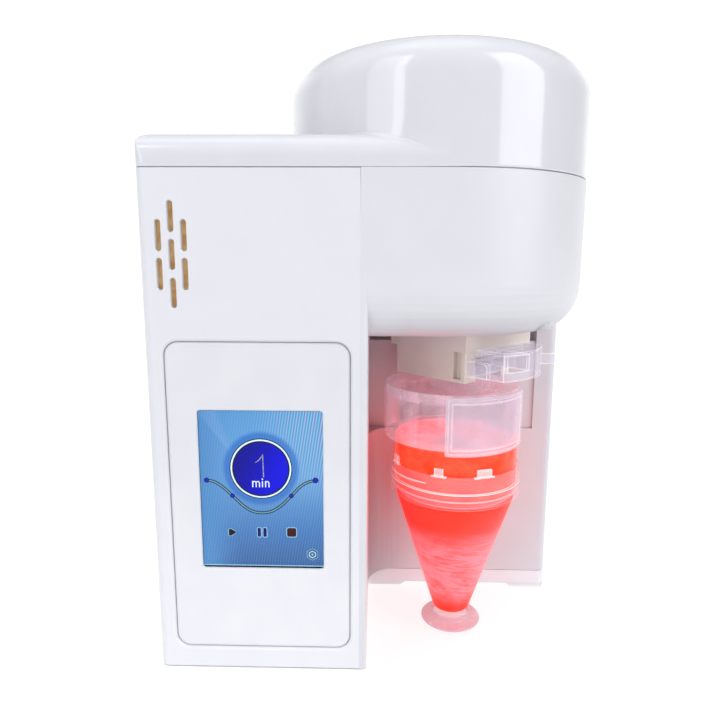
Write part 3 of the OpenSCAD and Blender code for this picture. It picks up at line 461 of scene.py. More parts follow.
def liquid_material(name, fade):
    """Red-orange sample with pale pink streaks drawn out by the swirl in the middle of the cone, and a painted red
    glow.
    """
    m, g, b = new_mat(name)
    o = g.obj()
    x, y, z = g.xyz(o)
    # swirl coordinates about the cup's own axis: squeezed along the height and sheared round it
    dx = g.math("SUBTRACT", x, CUP[0] * MM)
    dy = g.math("SUBTRACT", y, CUP[1] * MM)
    ang = g.math("ARCTAN2", dy, dx)
    comb = g.n("ShaderNodeCombineXYZ")
    g.l(g.math("MULTIPLY", g.math("COSINE", ang), 0.035), comb.inputs[0])
    g.l(g.math("MULTIPLY", g.math("SINE", ang), 0.035), comb.inputs[1])
    g.l(g.math("ADD", g.math("MULTIPLY", z, 1.0), g.math("MULTIPLY", ang, 0.0022)), comb.inputs[2])
    big = g.noise(g.scale(comb.outputs[0], (0.8, 0.8, 1.6)), 38.0, 4.0, 0.6, 0.7)
    fine = g.noise(g.scale(comb.outputs[0], (0.5, 0.5, 5.5)), 90.0, 5.0, 0.62, 1.0)
    band = g.math("MULTIPLY", g.smooth(z, 0.014, 0.027), g.smooth(z, 0.065, 0.046))
    streak = g.math("ADD", g.math("MULTIPLY", big, 0.45), g.math("MULTIPLY", fine, 0.65))
    pale = g.math("MULTIPLY", band, g.smooth(streak, 0.38, 0.68, 0.3, 1.25), clamp=True)
    # paler towards the right of the cone, and a froth towards the surface
    side = g.math("MULTIPLY", g.smooth(dx, -0.004, 0.024), g.math("MULTIPLY", g.smooth(z, 0.014, 0.03), g.smooth(z, 0.078, 0.055)))
    soft = g.math("ADD", g.math("MULTIPLY", g.smooth(big, 0.5, 0.8), 0.12), g.math("MULTIPLY", side, 0.25))
    top = g.math("MULTIPLY", g.smooth(dx, 0.0, 0.02), g.smooth(z, 0.086, 0.1))
    fac = g.math("ADD", g.math("MULTIPLY", pale, 0.85), g.math("ADD", soft, g.math("MULTIPLY", top, 0.12)), clamp=True)
    rise = g.math("SUBTRACT", g.math("ADD", z, g.math("MULTIPLY", g.math("SUBTRACT", big, 0.5), 0.02)), g.math("MULTIPLY", g.smooth(dx, 0.004, -0.022), 0.006))
    froth = g.smooth(rise, 0.0975, 0.1085)
    if fade:
        # the sample clears to a thin film above the red
        g.l(g.smooth(z, 0.1042, 0.1056, 1.0, 0.05), b.inputs["Alpha"])
    else:
        # its far side is lost in the film
        far = g.math("SUBTRACT", g.math("ADD", dy, g.math("MULTIPLY", dx, 0.5)), g.math("MULTIPLY", g.math("SUBTRACT", big, 0.5), 0.012))
        g.l(g.smooth(far, -0.016, 0.008, 1.0, 0.06), b.inputs["Alpha"])
    col = g.mix(fac, (1.0, 0.02, 0.002, 1), (0.96, 0.25, 0.30, 1))
    g.l(g.mix(froth, col, (0.80, 0.42, 0.50, 1)), b.inputs["Base Color"])
    # painted glow: the sample emits a deep red, weaker in the froth, which also throws red light onto the walls round
    # the cup
    glow = g.mix(fac, (1.0, 0.005, 0.001, 1), (1.0, 0.04, 0.05, 1))
    g.l(g.mix(froth, glow, (0.80, 0.30, 0.40, 1)), b.inputs["Emission Color"])
    g.l(g.smooth(froth, 0.0, 1.0, 1.0, 0.2), b.inputs["Emission Strength"])
    b.inputs["Roughness"].default_value = 0.4
    b.inputs["Specular IOR Level"].default_value = 0.12
    b.inputs["Subsurface Weight"].default_value = 0.1
    b.inputs["Subsurface Radius"].default_value = (0.006, 0.0015, 0.0008)
    bump = g.n("ShaderNodeBump")
    bump.inputs["Strength"].default_value = 0.2
    bump.inputs["Distance"].default_value = 0.0002
    g.l(fine, bump.inputs["Height"])
    g.l(bump.outputs[0], b.inputs["Normal"])
    return m


M["liquid"] = liquid_material("liquid_red", True)
M["surface"] = liquid_material("liquid_surface", False)


def screen_material():
    """Lit display: a blue gradient with fine upright pixel lines that turn cyan and pink towards the upper right, and a soft halo."""
    m, g, b = new_mat("screen_lit")
    x, y, z = g.xyz(g.obj())
    sx = g.math("DIVIDE", g.math("SUBTRACT", x, SX0 * MM), (SX1 - SX0) * MM)
    sz = g.math("DIVIDE", g.math("SUBTRACT", z, SZ0 * MM), (SZ1 - SZ0) * MM)
    base = g.ramp(sz, [(0.0, lin("#245496")), (0.25, lin("#3f78bd")), (0.6, lin("#6ba6de")), (1.0, lin("#5c9fdb"))])
    left = g.mix(g.smooth(sx, 0.35, 0.0), base, lin("#4a8ccb"))
    corner = g.math("MULTIPLY", g.smooth(sx, 0.35, 1.0), g.smooth(sz, 0.35, 1.0))
    bright = g.mix(g.math("MULTIPLY", corner, 0.32), left, lin("#9bd0ee"))
    lean = g.math("MULTIPLY", z, -0.16)
    u = g.math("ADD", x, lean)
    line = g.math("SINE", g.math("MULTIPLY", u, 2 * math.pi / 0.00118))
    fine = g.math("SINE", g.math("MULTIPLY", g.math("ADD", x, g.math("MULTIPLY", z, 0.35)), 2 * math.pi / 0.00074))
    hue = g.math("SINE", g.math("ADD", g.math("MULTIPLY", u, 2 * math.pi / 0.0037), 1.2))
    tint = g.mix(g.smooth(hue, -1.0, 1.0), lin("#3fd0d8"), lin("#c9a2e4"))
    amp = g.math("ADD", 0.10, g.math("MULTIPLY", corner, 0.85))
    col = g.mix(g.math("MULTIPLY", g.smooth(line, -0.3, 1.0), amp, clamp=True), bright, g.mix(g.math("MULTIPLY", corner, 0.6), lin("#a8d4f2"), tint))
    col = g.mix(g.math("MULTIPLY", g.smooth(line, 0.2, -1.0), g.math("ADD", 0.06, g.math("MULTIPLY", corner, 0.5)), clamp=True), col, lin("#3b6fb4"))
    col = g.mix(g.math("MULTIPLY", g.smooth(fine, 0.0, 1.0), 0.16), col, lin("#3d74b6"))
    grain = g.noise(g.obj(), 2600.0, 2.0, 0.7)
    col = g.mix(g.math("MULTIPLY", g.smooth(grain, 0.45, 0.75), 0.25), col, lin("#8fc2ea"))
    # halo round the dial
    rx = g.math("SUBTRACT", x, -50.7 * MM)
    rz = g.math("SUBTRACT", z, 103.1 * MM)
    rad = g.math("SQRT", g.math("ADD", g.math("MULTIPLY", rx, rx), g.math("MULTIPLY", rz, rz)))
    halo = g.math("MULTIPLY", g.smooth(rad, 0.0172, 0.0148), g.smooth(grain, 0.2, 0.7, 0.75, 1.0))
    col = g.mix(g.math("MULTIPLY", halo, 0.85), col, lin("#2a6fca"))
    g.l(col, b.inputs["Base Color"])
    g.l(col, b.inputs["Emission Color"])
    b.inputs["Emission Strength"].default_value = 0.78
    b.inputs["Roughness"].default_value = 0.16
    b.inputs["Specular IOR Level"].default_value = 0.25
    # the colour of the panel itself is dark: the picture is emitted
    g.l(g.mix(0.82, col, lin("#0c1420")), b.inputs["Base Color"])
    return m


M["screen"] = screen_material()


def lit(name, colour, second, strength=0.85, scale=900.0):
    """One colour of the display's picture, with the pixel grain of the rest."""
    m, g, b = new_mat(name)
    o = g.obj()
    col = g.mix(g.smooth(g.noise(o, scale, 2.0, 0.6), 0.3, 0.7), colour, second)
    g.l(col, b.inputs["Emission Color"])
    b.inputs["Emission Strength"].default_value = strength
    g.l(g.mix(0.85, col, lin("#0a0d14")), b.inputs["Base Color"])
    b.inputs["Roughness"].default_value = 0.2
    b.inputs["Specular IOR Level"].default_value = 0.2
    return m


def disc_material():
    m, g, b = new_mat("ui_disc")
    x, y, z = g.xyz(g.obj())
    d = g.math("ADD", g.math("MULTIPLY", g.math("ADD", x, 50.7 * MM), 1.0), g.math("MULTIPLY", g.math("SUBTRACT", z, 103.1 * MM), -0.45))
    col = g.ramp(g.smooth(d, -0.013, 0.011), [(0.0, lin("#00008a")), (0.5, lin("#0000b4")), (1.0, lin("#0404e0"))])
    col = g.mix(g.math("MULTIPLY", g.smooth(g.noise(g.obj(), 500.0, 3.0, 0.6), 0.3, 0.7), 0.12), col, lin("#1a1af0"))
    g.l(col, b.inputs["Emission Color"])
    b.inputs["Emission Strength"].default_value = 0.9
    b.inputs["Base Color"].default_value = lin("#04041c")
    g.l(g.mix(0.9, col, lin("#04041c")), b.inputs["Base Color"])
    b.inputs["Roughness"].default_value = 0.2
    b.inputs["Specular IOR Level"].default_value = 0.2
    return m


M["ui_disc"] = disc_material()
M["ui_white"] = lit("ui_white", lin("#f2fbff"), lin("#d4f0fb"), 0.95)
M["ui_dark"] = lit("ui_dark", lin("#0b1a4a"), lin("#081238"), 0.6)
M["ui_line"] = lit("ui_line", lin("#7fb4b8"), lin("#6aa0b8"), 0.75)
M["ui_outline"] = lit("ui_outline", lin("#0a2250"), lin("#0c2a60"), 0.6)
M["ui_blue"] = lit("ui_blue", lin("#0a1cb4"), lin("#1026c8"), 0.8)
M["ui_brown"] = lit("ui_brown", lin("#2a0a08"), lin("#1c0808"), 0.6)
M["ui_red"] = lit("ui_red", lin("#4a0c08"), lin("#380806"), 0.7)
M["ui_navy"] = lit("ui_navy", lin("#06107a"), lin("#040a56"), 0.75)
M["ui_pale"] = lit("ui_pale", lin("#a6d8f4"), lin("#8fc6ec"), 0.8)
M["ui_grey"] = lit("ui_grey", lin("#c9c9b8"), lin("#8d9090"), 0.7)
M["ui_black"] = lit("ui_black", lin("#04060a"), lin("#060a10"), 0.3)

# ------------------------------------------------------------------ mesh helpers


def make(name, verts, faces, mat, body="housing", angle=35.0, weld=1e-6, unit=MM, flip_check=True):
    me = bpy.data.meshes.new(name)
    me.from_pydata([(x * unit, y * unit, z * unit) for x, y, z in verts], [], faces)
    me.validate()
    bm = bmesh.new()
    bm.from_mesh(me)
    bmesh.ops.remove_doubles(bm, verts=bm.verts, dist=weld)
    bmesh.ops.dissolve_degenerate(bm, edges=bm.edges, dist=1e-7)
    if flip_check:
        bmesh.ops.recalc_face_normals(bm, faces=bm.faces)
    bm.to_mesh(me)
    bm.free()
    o = bpy.data.objects.new(name, me)
    bpy.context.scene.collection.objects.link(o)
    if mat is not None:
        me.materials.append(mat)
    shade(o, angle)
    if body:
        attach(o, body)
    return o


def shade(o, angle=35.0):
    me = o.data
    for p in me.polygons:
        p.use_smooth = True
    me.set_sharp_from_angle(angle=math.radians(angle))


def loft(rings, cap_a=True, cap_b=True):
    """Faces between closed rings of equal length, with flat caps."""
    verts = [p for r in rings for p in r]
    n = len(rings[0])
    faces = []
    for i in range(len(rings) - 1):
        for j in range(n):
            a, b = i * n + j, i * n + (j + 1) % n
            faces.append((a, b, b + n, a + n))
    if cap_a:
        faces.append(tuple(range(n - 1, -1, -1)))
    if cap_b:
        k = (len(rings) - 1) * n
        faces.append(tuple(range(k, k + n)))
    return verts, faces


def rr(x0, x1, z0, z1, r, e=0.0, n=8):
    """Rounded rectangle grown by e, as (u, v) points."""
    x0, x1, z0, z1, r = x0 - e, x1 + e, z0 - e, z1 + e, max(r + e, 0.05)
    pts = []
    for cx, cz, a0 in ((x0 + r, z0 + r, 180), (x1 - r, z0 + r, 270), (x1 - r, z1 - r, 0), (x0 + r, z1 - r, 90)):
        for i in range(n + 1):
            a = math.radians(a0 + 90 * i / n)
            pts.append((cx + r * math.cos(a), cz + r * math.sin(a)))
    return pts


def facing(pts, y):
    return [(u, y, v) for u, v in pts]


def revolve(profile, cx, cy, segs=128, a0=0.0, a1=360.0):
    """A closed profile [(r, z)...] turned about a vertical axis."""
    full = abs(a1 - a0 - 360) < 1e-6
    n = len(profile)
    rings = []
    count = segs if full else segs + 1
    for i in range(count):
        a = math.radians(a0 + (a1 - a0) * i / segs)
        rings.append([(cx + r * math.cos(a), cy + r * math.sin(a), z) for r, z in profile])
    verts = [p for r in rings for p in r]
    faces = []
    for i in range(count if full else count - 1):
        k = (i + 1) % count
        for j in range(n):
            a, b = i * n + j, i * n + (j + 1) % n
            c, d = k * n + (j + 1) % n, k * n + j
            faces.append((a, b, c, d))
    if not full:
        faces.append(tuple(range(n - 1, -1, -1)))
        faces.append(tuple(range((count - 1) * n, count * n)))
    return verts, faces


def round_profile(pts, radii, n=5):
    """Rounds the corners of a closed (r, z) polygon."""
    out = []
    m = len(pts)
    for i, p in enumerate(pts):
        r = radii[i] if isinstance(radii, (list, tuple)) else radii
        p = Vector(p)
        a = Vector(pts[i - 1]) - p
        b = Vector(pts[(i + 1) % m]) - p
        if r <= 0 or a.length < 1e-6 or b.length < 1e-6:
            out.append(tuple(p))
            continue
        ang = a.angle(b)
        if ang > math.radians(176):
            out.append(tuple(p))
            continue
        t = min(r / math.tan(ang / 2), a.length * 0.48, b.length * 0.48)
        rr_ = t * math.tan(ang / 2)
        pa, pb = p + a.normalized() * t, p + b.normalized() * t
        c = p + (a.normalized() + b.normalized()).normalized() * (rr_ / math.sin(ang / 2))
        va, vb = pa - c, pb - c
        tot = va.angle(vb)
        for k in range(n + 1):
            f = k / n
            s = math.sin(tot)
            v = va if s < 1e-9 else (va * math.sin((1 - f) * tot) + vb * math.sin(f * tot)) / s
            out.append(tuple(c + v))
    return out


def boolean(o, cutters, op="DIFFERENCE"):
    for c in cutters:
        md = o.modifiers.new("cut", "BOOLEAN")
        md.operation = op
        md.solver = "EXACT"
        md.object = c
    apply_mods(o)
    for c in cutters:
        bpy.data.objects.remove(c)
    return o


def apply_mods(o):
    bpy.context.view_layer.update()
    dg = bpy.context.evaluated_depsgraph_get()
    me = bpy.data.meshes.new_from_object(o.evaluated_get(dg), preserve_all_data_layers=True, depsgraph=dg)
    o.modifiers.clear()
    old = o.data
    o.data = me
    bpy.data.meshes.remove(old)


def bevel(o, width, segs=2, angle=30.0):
    md = o.modifiers.new("bevel", "BEVEL")
    md.width = width * MM
    md.segments = segs
    md.limit_method = "ANGLE"
    md.angle_limit = math.radians(angle)
    md.harden_normals = False
    md.miter_outer = "MITER_SHARP"
    md.use_clamp_overlap = True
    apply_mods(o)


def weighted(o):
    md = o.modifiers.new("weighted", "WEIGHTED_NORMAL")
    md.keep_sharp = True
    md.weight = 80


# ------------------------------------------------------------------ top cover: one shell of cap and dome
def ir(d):
    return max(4.0 - d, 0.6)


def plan(d):
    """Outline of the head moved in by d, always with the same number of points."""
    out = []

    def arc(cx, cy, r, a0, a1, n):
        for i in range(n + 1):
            a = math.radians(a0 + (a1 - a0) * i / n)
            out.append((cx + r * math.cos(a), cy + r * math.sin(a)))

    def line(p, q, n):
        for i in range(1, n):
            out.append((p[0] + (q[0] - p[0]) * i / n, p[1] + (q[1] - p[1]) * i / n))

    r = ir(d)
    a = (X0 + d + r, Y0 + d + r)
    arc(a[0], a[1], r, 180, 270, 8)
    # the straight front runs into the drum's arc, with close steps where they meet
    xs = [X0 + d + r + (DX - X0 - d - r) * (1 - (1 - i / 44) ** 1.35) for i in range(1, 44)]
    out.extend((x, Y0 + d) for x in xs)
    arc(DX, 0, DR - d, -90, 0, 72)
    b = (X1 - d - r, Y1 - d - r)
    line((X1 - d, 0), (X1 - d, Y1 - d - r), 20)
    arc(b[0], b[1], r, 0, 90, 8)
    line((X1 - d - r, Y1 - d), (X0 + d + r, Y1 - d), 60)
    arc(X0 + d + r, Y1 - d - r, r, 90, 180, 8)
    line((X0 + d, Y1 - d - r), (X0 + d, Y0 + d + r), 36)
    return out


def zcap(x, y, d):
    def f(dist, r):
        e, q = dist - d, r - d
        if e >= q:
            return CAP_Z - d
        e = max(e, 0.0)
        return CAP_Z - r + math.sqrt(max(q * q - (q - e) ** 2, 0.0))
    z = min(f(Y1 - y, 10.0), f(x - X0, 6.0))
    if x <= DX + 1e-9:
        z = min(z, f(y - Y0, 10.0))
    if y > 0:
        z = min(z, f(X1 - x, 10.0))
    return z


def cover_columns(d, groove):
    cols = []
    rd = DR - d
    for bx, by in plan(d):
        vx, vy = bx - DX, by
        rb = math.hypot(vx, vy)
        ux, uy = vx / rb, vy / rb
        length = max(rb - rd, 0.0)
        P = []

        def at(r, z):
            P.append((DX + ux * r, uy * r, z))
        for r in (18.0, 38.0):
            at(r, DOME_Z - d)
        for i in range(17):
            a = math.radians(90 - 90 * i / 16)
            at(DR - 15.6 + (15.6 - d) * math.cos(a), DOME_Z - 16 + (16 - d) * math.sin(a))
        zj = zcap(DX + ux * rd, uy * rd, d) if length > 1e-3 else CAP_Z - 10
        rho = min(1.0, length * 0.4)
        top = DOME_Z - 16
        for i in range(1, 5):
            at(rd, top + (zj + rho - top) * i / 4)
        # small fillet where the dome meets the cap, then the cap to its edge
        for i in range(1, 4):
            a = math.radians(90 * i / 4)
            at(rd + rho * (1 - math.cos(a)), zj + rho * (1 - math.sin(a)) if length > 1e-3 else zj - 0.05 * i)
        flat = length - rho
        if length > 1e-3:
            # how far from the edge the fillet reaches along this column
            s_f, step = 0.0, 0.25
            while s_f < flat and zcap(DX + ux * (rb - s_f), uy * (rb - s_f), d) < CAP_Z - d - 1e-3:
                s_f += step
            s_f = min(s_f, flat)
            ss = [flat - (flat - s_f) * i / 6 for i in range(6)]
            ss += [s_f * (1 - math.sin(math.radians(90 * i / 12))) for i in range(13)]
            for s in ss:
                r = rb - s
                x, y = DX + ux * r, uy * r
                P.append((x, y, zcap(x, y, d)))
        else:
            for i in range(19):
                at(rb, zj - 0.2 - 0.05 * i)
        zb = P[-1][2]
        g = groove(bx) if groove else 0.0
        lo = PART_Z + (g + 0.35 if groove else 0.0)
        for i in (1, 2):
            at(rb, zb + (lo - zb) * i / 2)
        if groove:
            at(rb - 0.12, lo - 0.25)
            at(rb - 0.45, lo - 0.35)
            at(rb - 1.3, PART_Z + g * 0.9)
            at(rb - 1.3, PART_Z)
        cols.append(P)
    return cols


def gap_width(x):
    """The parting line opens from nearly nothing at the left to about 0.5 mm at the right of the drum."""
    t = min(max((x - 5.0) / 60.0, 0.0), 1.0)
    return 0.06 + 0.42 * t * t * (3 - 2 * t)


def build_cover():
    outer, inner = cover_columns(0.0, gap_width), cover_columns(WALL, None)
    n = len(outer)
    no, ni = len(outer[0]), len(inner[0])
    verts = [p for c in outer for p in c] + [p for c in inner for p in c]
    ctr_o = len(verts)
    verts.append((DX, 0, DOME_Z))
    ctr_i = len(verts)
    verts.append((DX, 0, DOME_Z - WALL))
    faces = []
    for i in range(n):
        k = (i + 1) % n
        faces.append((ctr_o, i * no, k * no))
        for j in range(no - 1):
            faces.append((i * no + j, i * no + j + 1, k * no + j + 1, k * no + j))
        a, b = n * no + i * ni, n * no + k * ni
        faces.append((ctr_i, b, a))
        for j in range(ni - 1):
            faces.append((a + j, b + j, b + j + 1, a + j + 1))
        faces.append((i * no + no - 1, a + ni - 1, b + ni - 1, k * no + no - 1))
    o = make("top_cover_shell", verts, faces, M["gloss"], "housing", angle=40)
    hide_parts("top_cover")
    return o


build_cover()

# ------------------------------------------------------------------ front panel, with rolled edges at the seat and the slots


def flared(pts_fn, y_top, y_end, rho, steps=6):
    """A cutter that widens towards the front by a quarter round of radius rho."""
    rings = [facing(pts_fn(rho), y_top - 2.0)]
    for i in range(steps + 1):
        a = math.radians(90 * i / steps)
        rings.append(facing(pts_fn(rho * (1 - math.sin(a))), y_top - 0.001 + rho * (1 - math.cos(a))))
    rings.append(facing(pts_fn(0.0), y_end))
    return loft(rings)


def build_front():
    pts = []
    for i in range(9):
        a = math.radians(197.5 + (270 - 197.5) * i / 8)
        pts.append((X0 + 4 + 4 * math.cos(a), Y0 + 4 + 4 * math.sin(a)))
    zs = [(TRAY_Z + 0.2, 0.3), (TRAY_Z + 0.3, 0.12), (TRAY_Z + 0.5, 0.0), (120.0, 0.0), (206.0, 0.0), (214.0, 0.0), (219.0, 0.0), (PART_Z - 0.5, 0.0), (PART_Z - 0.3, 0.12), (PART_Z - 0.2, 0.3)]
    rings = []
    for z, e in zs:
        ring = []
        # the right seam closes up below its top end
        t = min(max((z - 206.0) / 13.0, 0.0), 1.0)
        rho, sx = 0.04 + 0.14 * t, SEAM_X + 0.145 - 0.04 * t
        edge = [(sx - rho + rho * math.cos(math.radians(270 + 30 * i)), Y0 + rho + rho * math.sin(math.radians(270 + 30 * i))) for i in range(4)]
        for x, y in pts + edge + [(sx, Y0 + WALL)]:
            k = max(0.0, 1 - (y - Y0) / WALL)
            ring.append((x + (e if x < -50 else 0) * (1 - k), y + e * k, z))
        rings.append(ring)
    o = make("front_panel_plate", *loft(rings), M["panel"], None, angle=40)
    cuts = [make("c0", *flared(lambda e: rr(BX0 - 0.3, BX1 + 0.3, BZ0 - 0.3, BZ1 + 0.3, BR + 0.3, e, 12), Y0, Y0 + 2.0, 1.3), None, None),
            make("c1", *loft([facing(rr(BX0 + 4, BX1 - 4, BZ0 + 4, BZ1 - 4, BR - 2), Y0 + 1.0), facing(rr(BX0 + 4, BX1 - 4, BZ0 + 4, BZ1 - 4, BR - 2), Y0 + 4)]), None, None)]
    for i, (sx, z0, z1) in enumerate(SLOTS):
        x = X0 + sx
        cuts.append(make("s%d" % i, *flared(lambda e: rr(x - 1.2, x + 1.2, z0, z1, 1.199, e, 8), Y0, Y0 + 4, 0.45), None, None))
    boolean(o, cuts)
    shade(o, 30)
    weighted(o)
    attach(o, "housing")
    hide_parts("front_panel")

    # the screw posts and stand-offs behind the plate stay as their own moulding
    parts = []
    for px, pz, r, ln in ((X0 + 9, 30, 3.4, 11.2), (X0 + 9, 162, 3.4, 11.2), (SEAM_X - 7, 30, 3.4, 11.2), (SEAM_X - 7, 162, 3.4, 11.2),
                          (X0 + 7.6, 48, 2.6, 4.0), (X0 + 84.6, 48, 2.6, 4.0), (X0 + 7.6, 138, 2.6, 4.0), (X0 + 84.6, 138, 2.6, 4.0)):
        ri = 1.35 if r > 3 else 1.05
        ya = Y0 + WALL - 0.15
        prof = [(ri, ya), (r + 0.5, ya), (r, ya + 0.9), (r - 0.1, ya + ln - 0.3), (r - 0.4, ya + ln), (ri + 0.25, ya + ln), (ri, ya + ln - 0.3)]
        parts.append([[(px + q * math.cos(a), yy, pz + q * math.sin(a)) for q, yy in prof] for a in [2 * math.pi * i / 32 for i in range(32)]])
    verts, faces = [], []
    for rings in parts:
        base, n, cnt = len(verts), len(rings[0]), len(rings)
        verts += [p for r in rings for p in r]
        for i in range(cnt):
            k = (i + 1) % cnt
            for j in range(n):
                faces.append((base + i * n + j, base + i * n + (j + 1) % n, base + k * n + (j + 1) % n, base + k * n + j))
    q = make("front_panel_posts", verts, faces, M["panel"], "housing")


build_front()

# ------------------------------------------------------------------ display panel


def build_bezel():
    rings = []
    y0 = Y0 + 0.8
    rho = 0.75
    rings.append(facing(rr(BX0, BX1, BZ0, BZ1, BR, 0, 12), Y0 + 2.0))
    rings.append(facing(rr(BX0, BX1, BZ0, BZ1, BR, 0, 12), y0 + rho * 1.0))
    for i in range(1, 7):
        a = math.radians(90 * i / 6)
        rings.append(facing(rr(BX0, BX1, BZ0, BZ1, BR, -2.2 * rho * (1 - math.cos(a)), 12), y0 + rho * (1 - math.sin(a))))
    o = make("display_bezel", *loft(rings), M["bezel"], None, angle=50)
    cut = make("c2", *flared(lambda e: rr(SX0, SX1, SZ0, SZ1, 1.3, e, 8), y0, Y0 + 3, 0.9), None, None)
    boolean(o, [cut])
    shade(o, 30)
    weighted(o)
    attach(o, "housing")
    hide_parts("panel_bezel")


build_bezel()


def plate(name, pts, y0, y1, mat, body="housing", soft=0.0):
    """A thin inlay seen from the front: outline [(x, z)...], from y0 (front) to y1 (back)."""
    rings = [facing(pts, y1), facing(pts, y0)]
    o = make(name, *loft(rings), mat, body, angle=30)
    return o


def circle(cx, cz, r, n=96):
    return [(cx + r * math.cos(2 * math.pi * i / n), cz + r * math.sin(2 * math.pi * i / n)) for i in range(n)]


def annulus(name, cx, cz, ri, ro, y0, y1, mat, n=96):
    verts, faces = [], []
    for i in range(n):
        a = 2 * math.pi * i / n
        for r, y in ((ri, y0), (ro, y0), (ro, y1), (ri, y1)):
            verts.append((cx + r * math.cos(a), y, cz + r * math.sin(a)))
    for i in range(n):
        k = (i + 1) % n
        for j in range(4):
            faces.append((i * 4 + j, i * 4 + (j + 1) % 4, k * 4 + (j + 1) % 4, k * 4 + j))
    o = make(name, verts, faces, mat, "housing", angle=30)
    return o


def stroke(name, pts, w, y0, y1, mat):
    """A flat line of width w along points, with round ends."""
    pts = [Vector(p) for p in pts]
    left, rightp = [], []
    for i, p in enumerate(pts):
        t = (pts[min(i + 1, len(pts) - 1)] - pts[max(i - 1, 0)]).normalized()
        nrm = Vector((-t.y, t.x))
        left.append(p + nrm * w / 2)
        rightp.append(p - nrm * w / 2)
    out = list(left)

    def end(c, a0, sweep):
        return [c + Vector((math.cos(a0 + sweep * i / 6), math.sin(a0 + sweep * i / 6))) * w / 2 for i in range(1, 6)]
    t1 = (pts[-1] - pts[-2]).normalized()
    out += end(pts[-1], math.atan2(t1.x, -t1.y), -math.pi)
    out += list(reversed(rightp))
    t0 = (pts[1] - pts[0]).normalized()
    out += end(pts[0], math.atan2(-t0.x, t0.y), -math.pi)
    n = len(out)
    m = len(pts)
    verts = [(p.x, y0, p.y) for p in out] + [(p.x, y1, p.y) for p in out]
    faces = []
    # strip faces keep a curved stroke clean
    for i in range(m - 1):
        a, b = i, i + 1
        ra, rb = m + 5 + (m - 1 - i), m + 5 + (m - 1 - (i + 1))
        faces.append((a, b, rb, ra))
        faces.append((n + a, n + ra, n + rb, n + b))
    faces.append(tuple([m - 1] + list(range(m, m + 5)) + [m + 5]))
    faces.append(tuple([n + m + 5] + [n + i for i in range(m + 4, m - 1, -1)] + [n + m - 1]))
    faces.append(tuple([2 * m + 4] + list(range(2 * m + 5, 2 * m + 10)) + [0]))
    faces.append(tuple([n] + [n + i for i in range(2 * m + 9, 2 * m + 4, -1)] + [n + 2 * m + 4]))
    for i in range(n):
        faces.append((i, (i + 1) % n, n + (i + 1) % n, n + i))
    o = make(name, verts, faces, mat, "housing", angle=30)
    return o


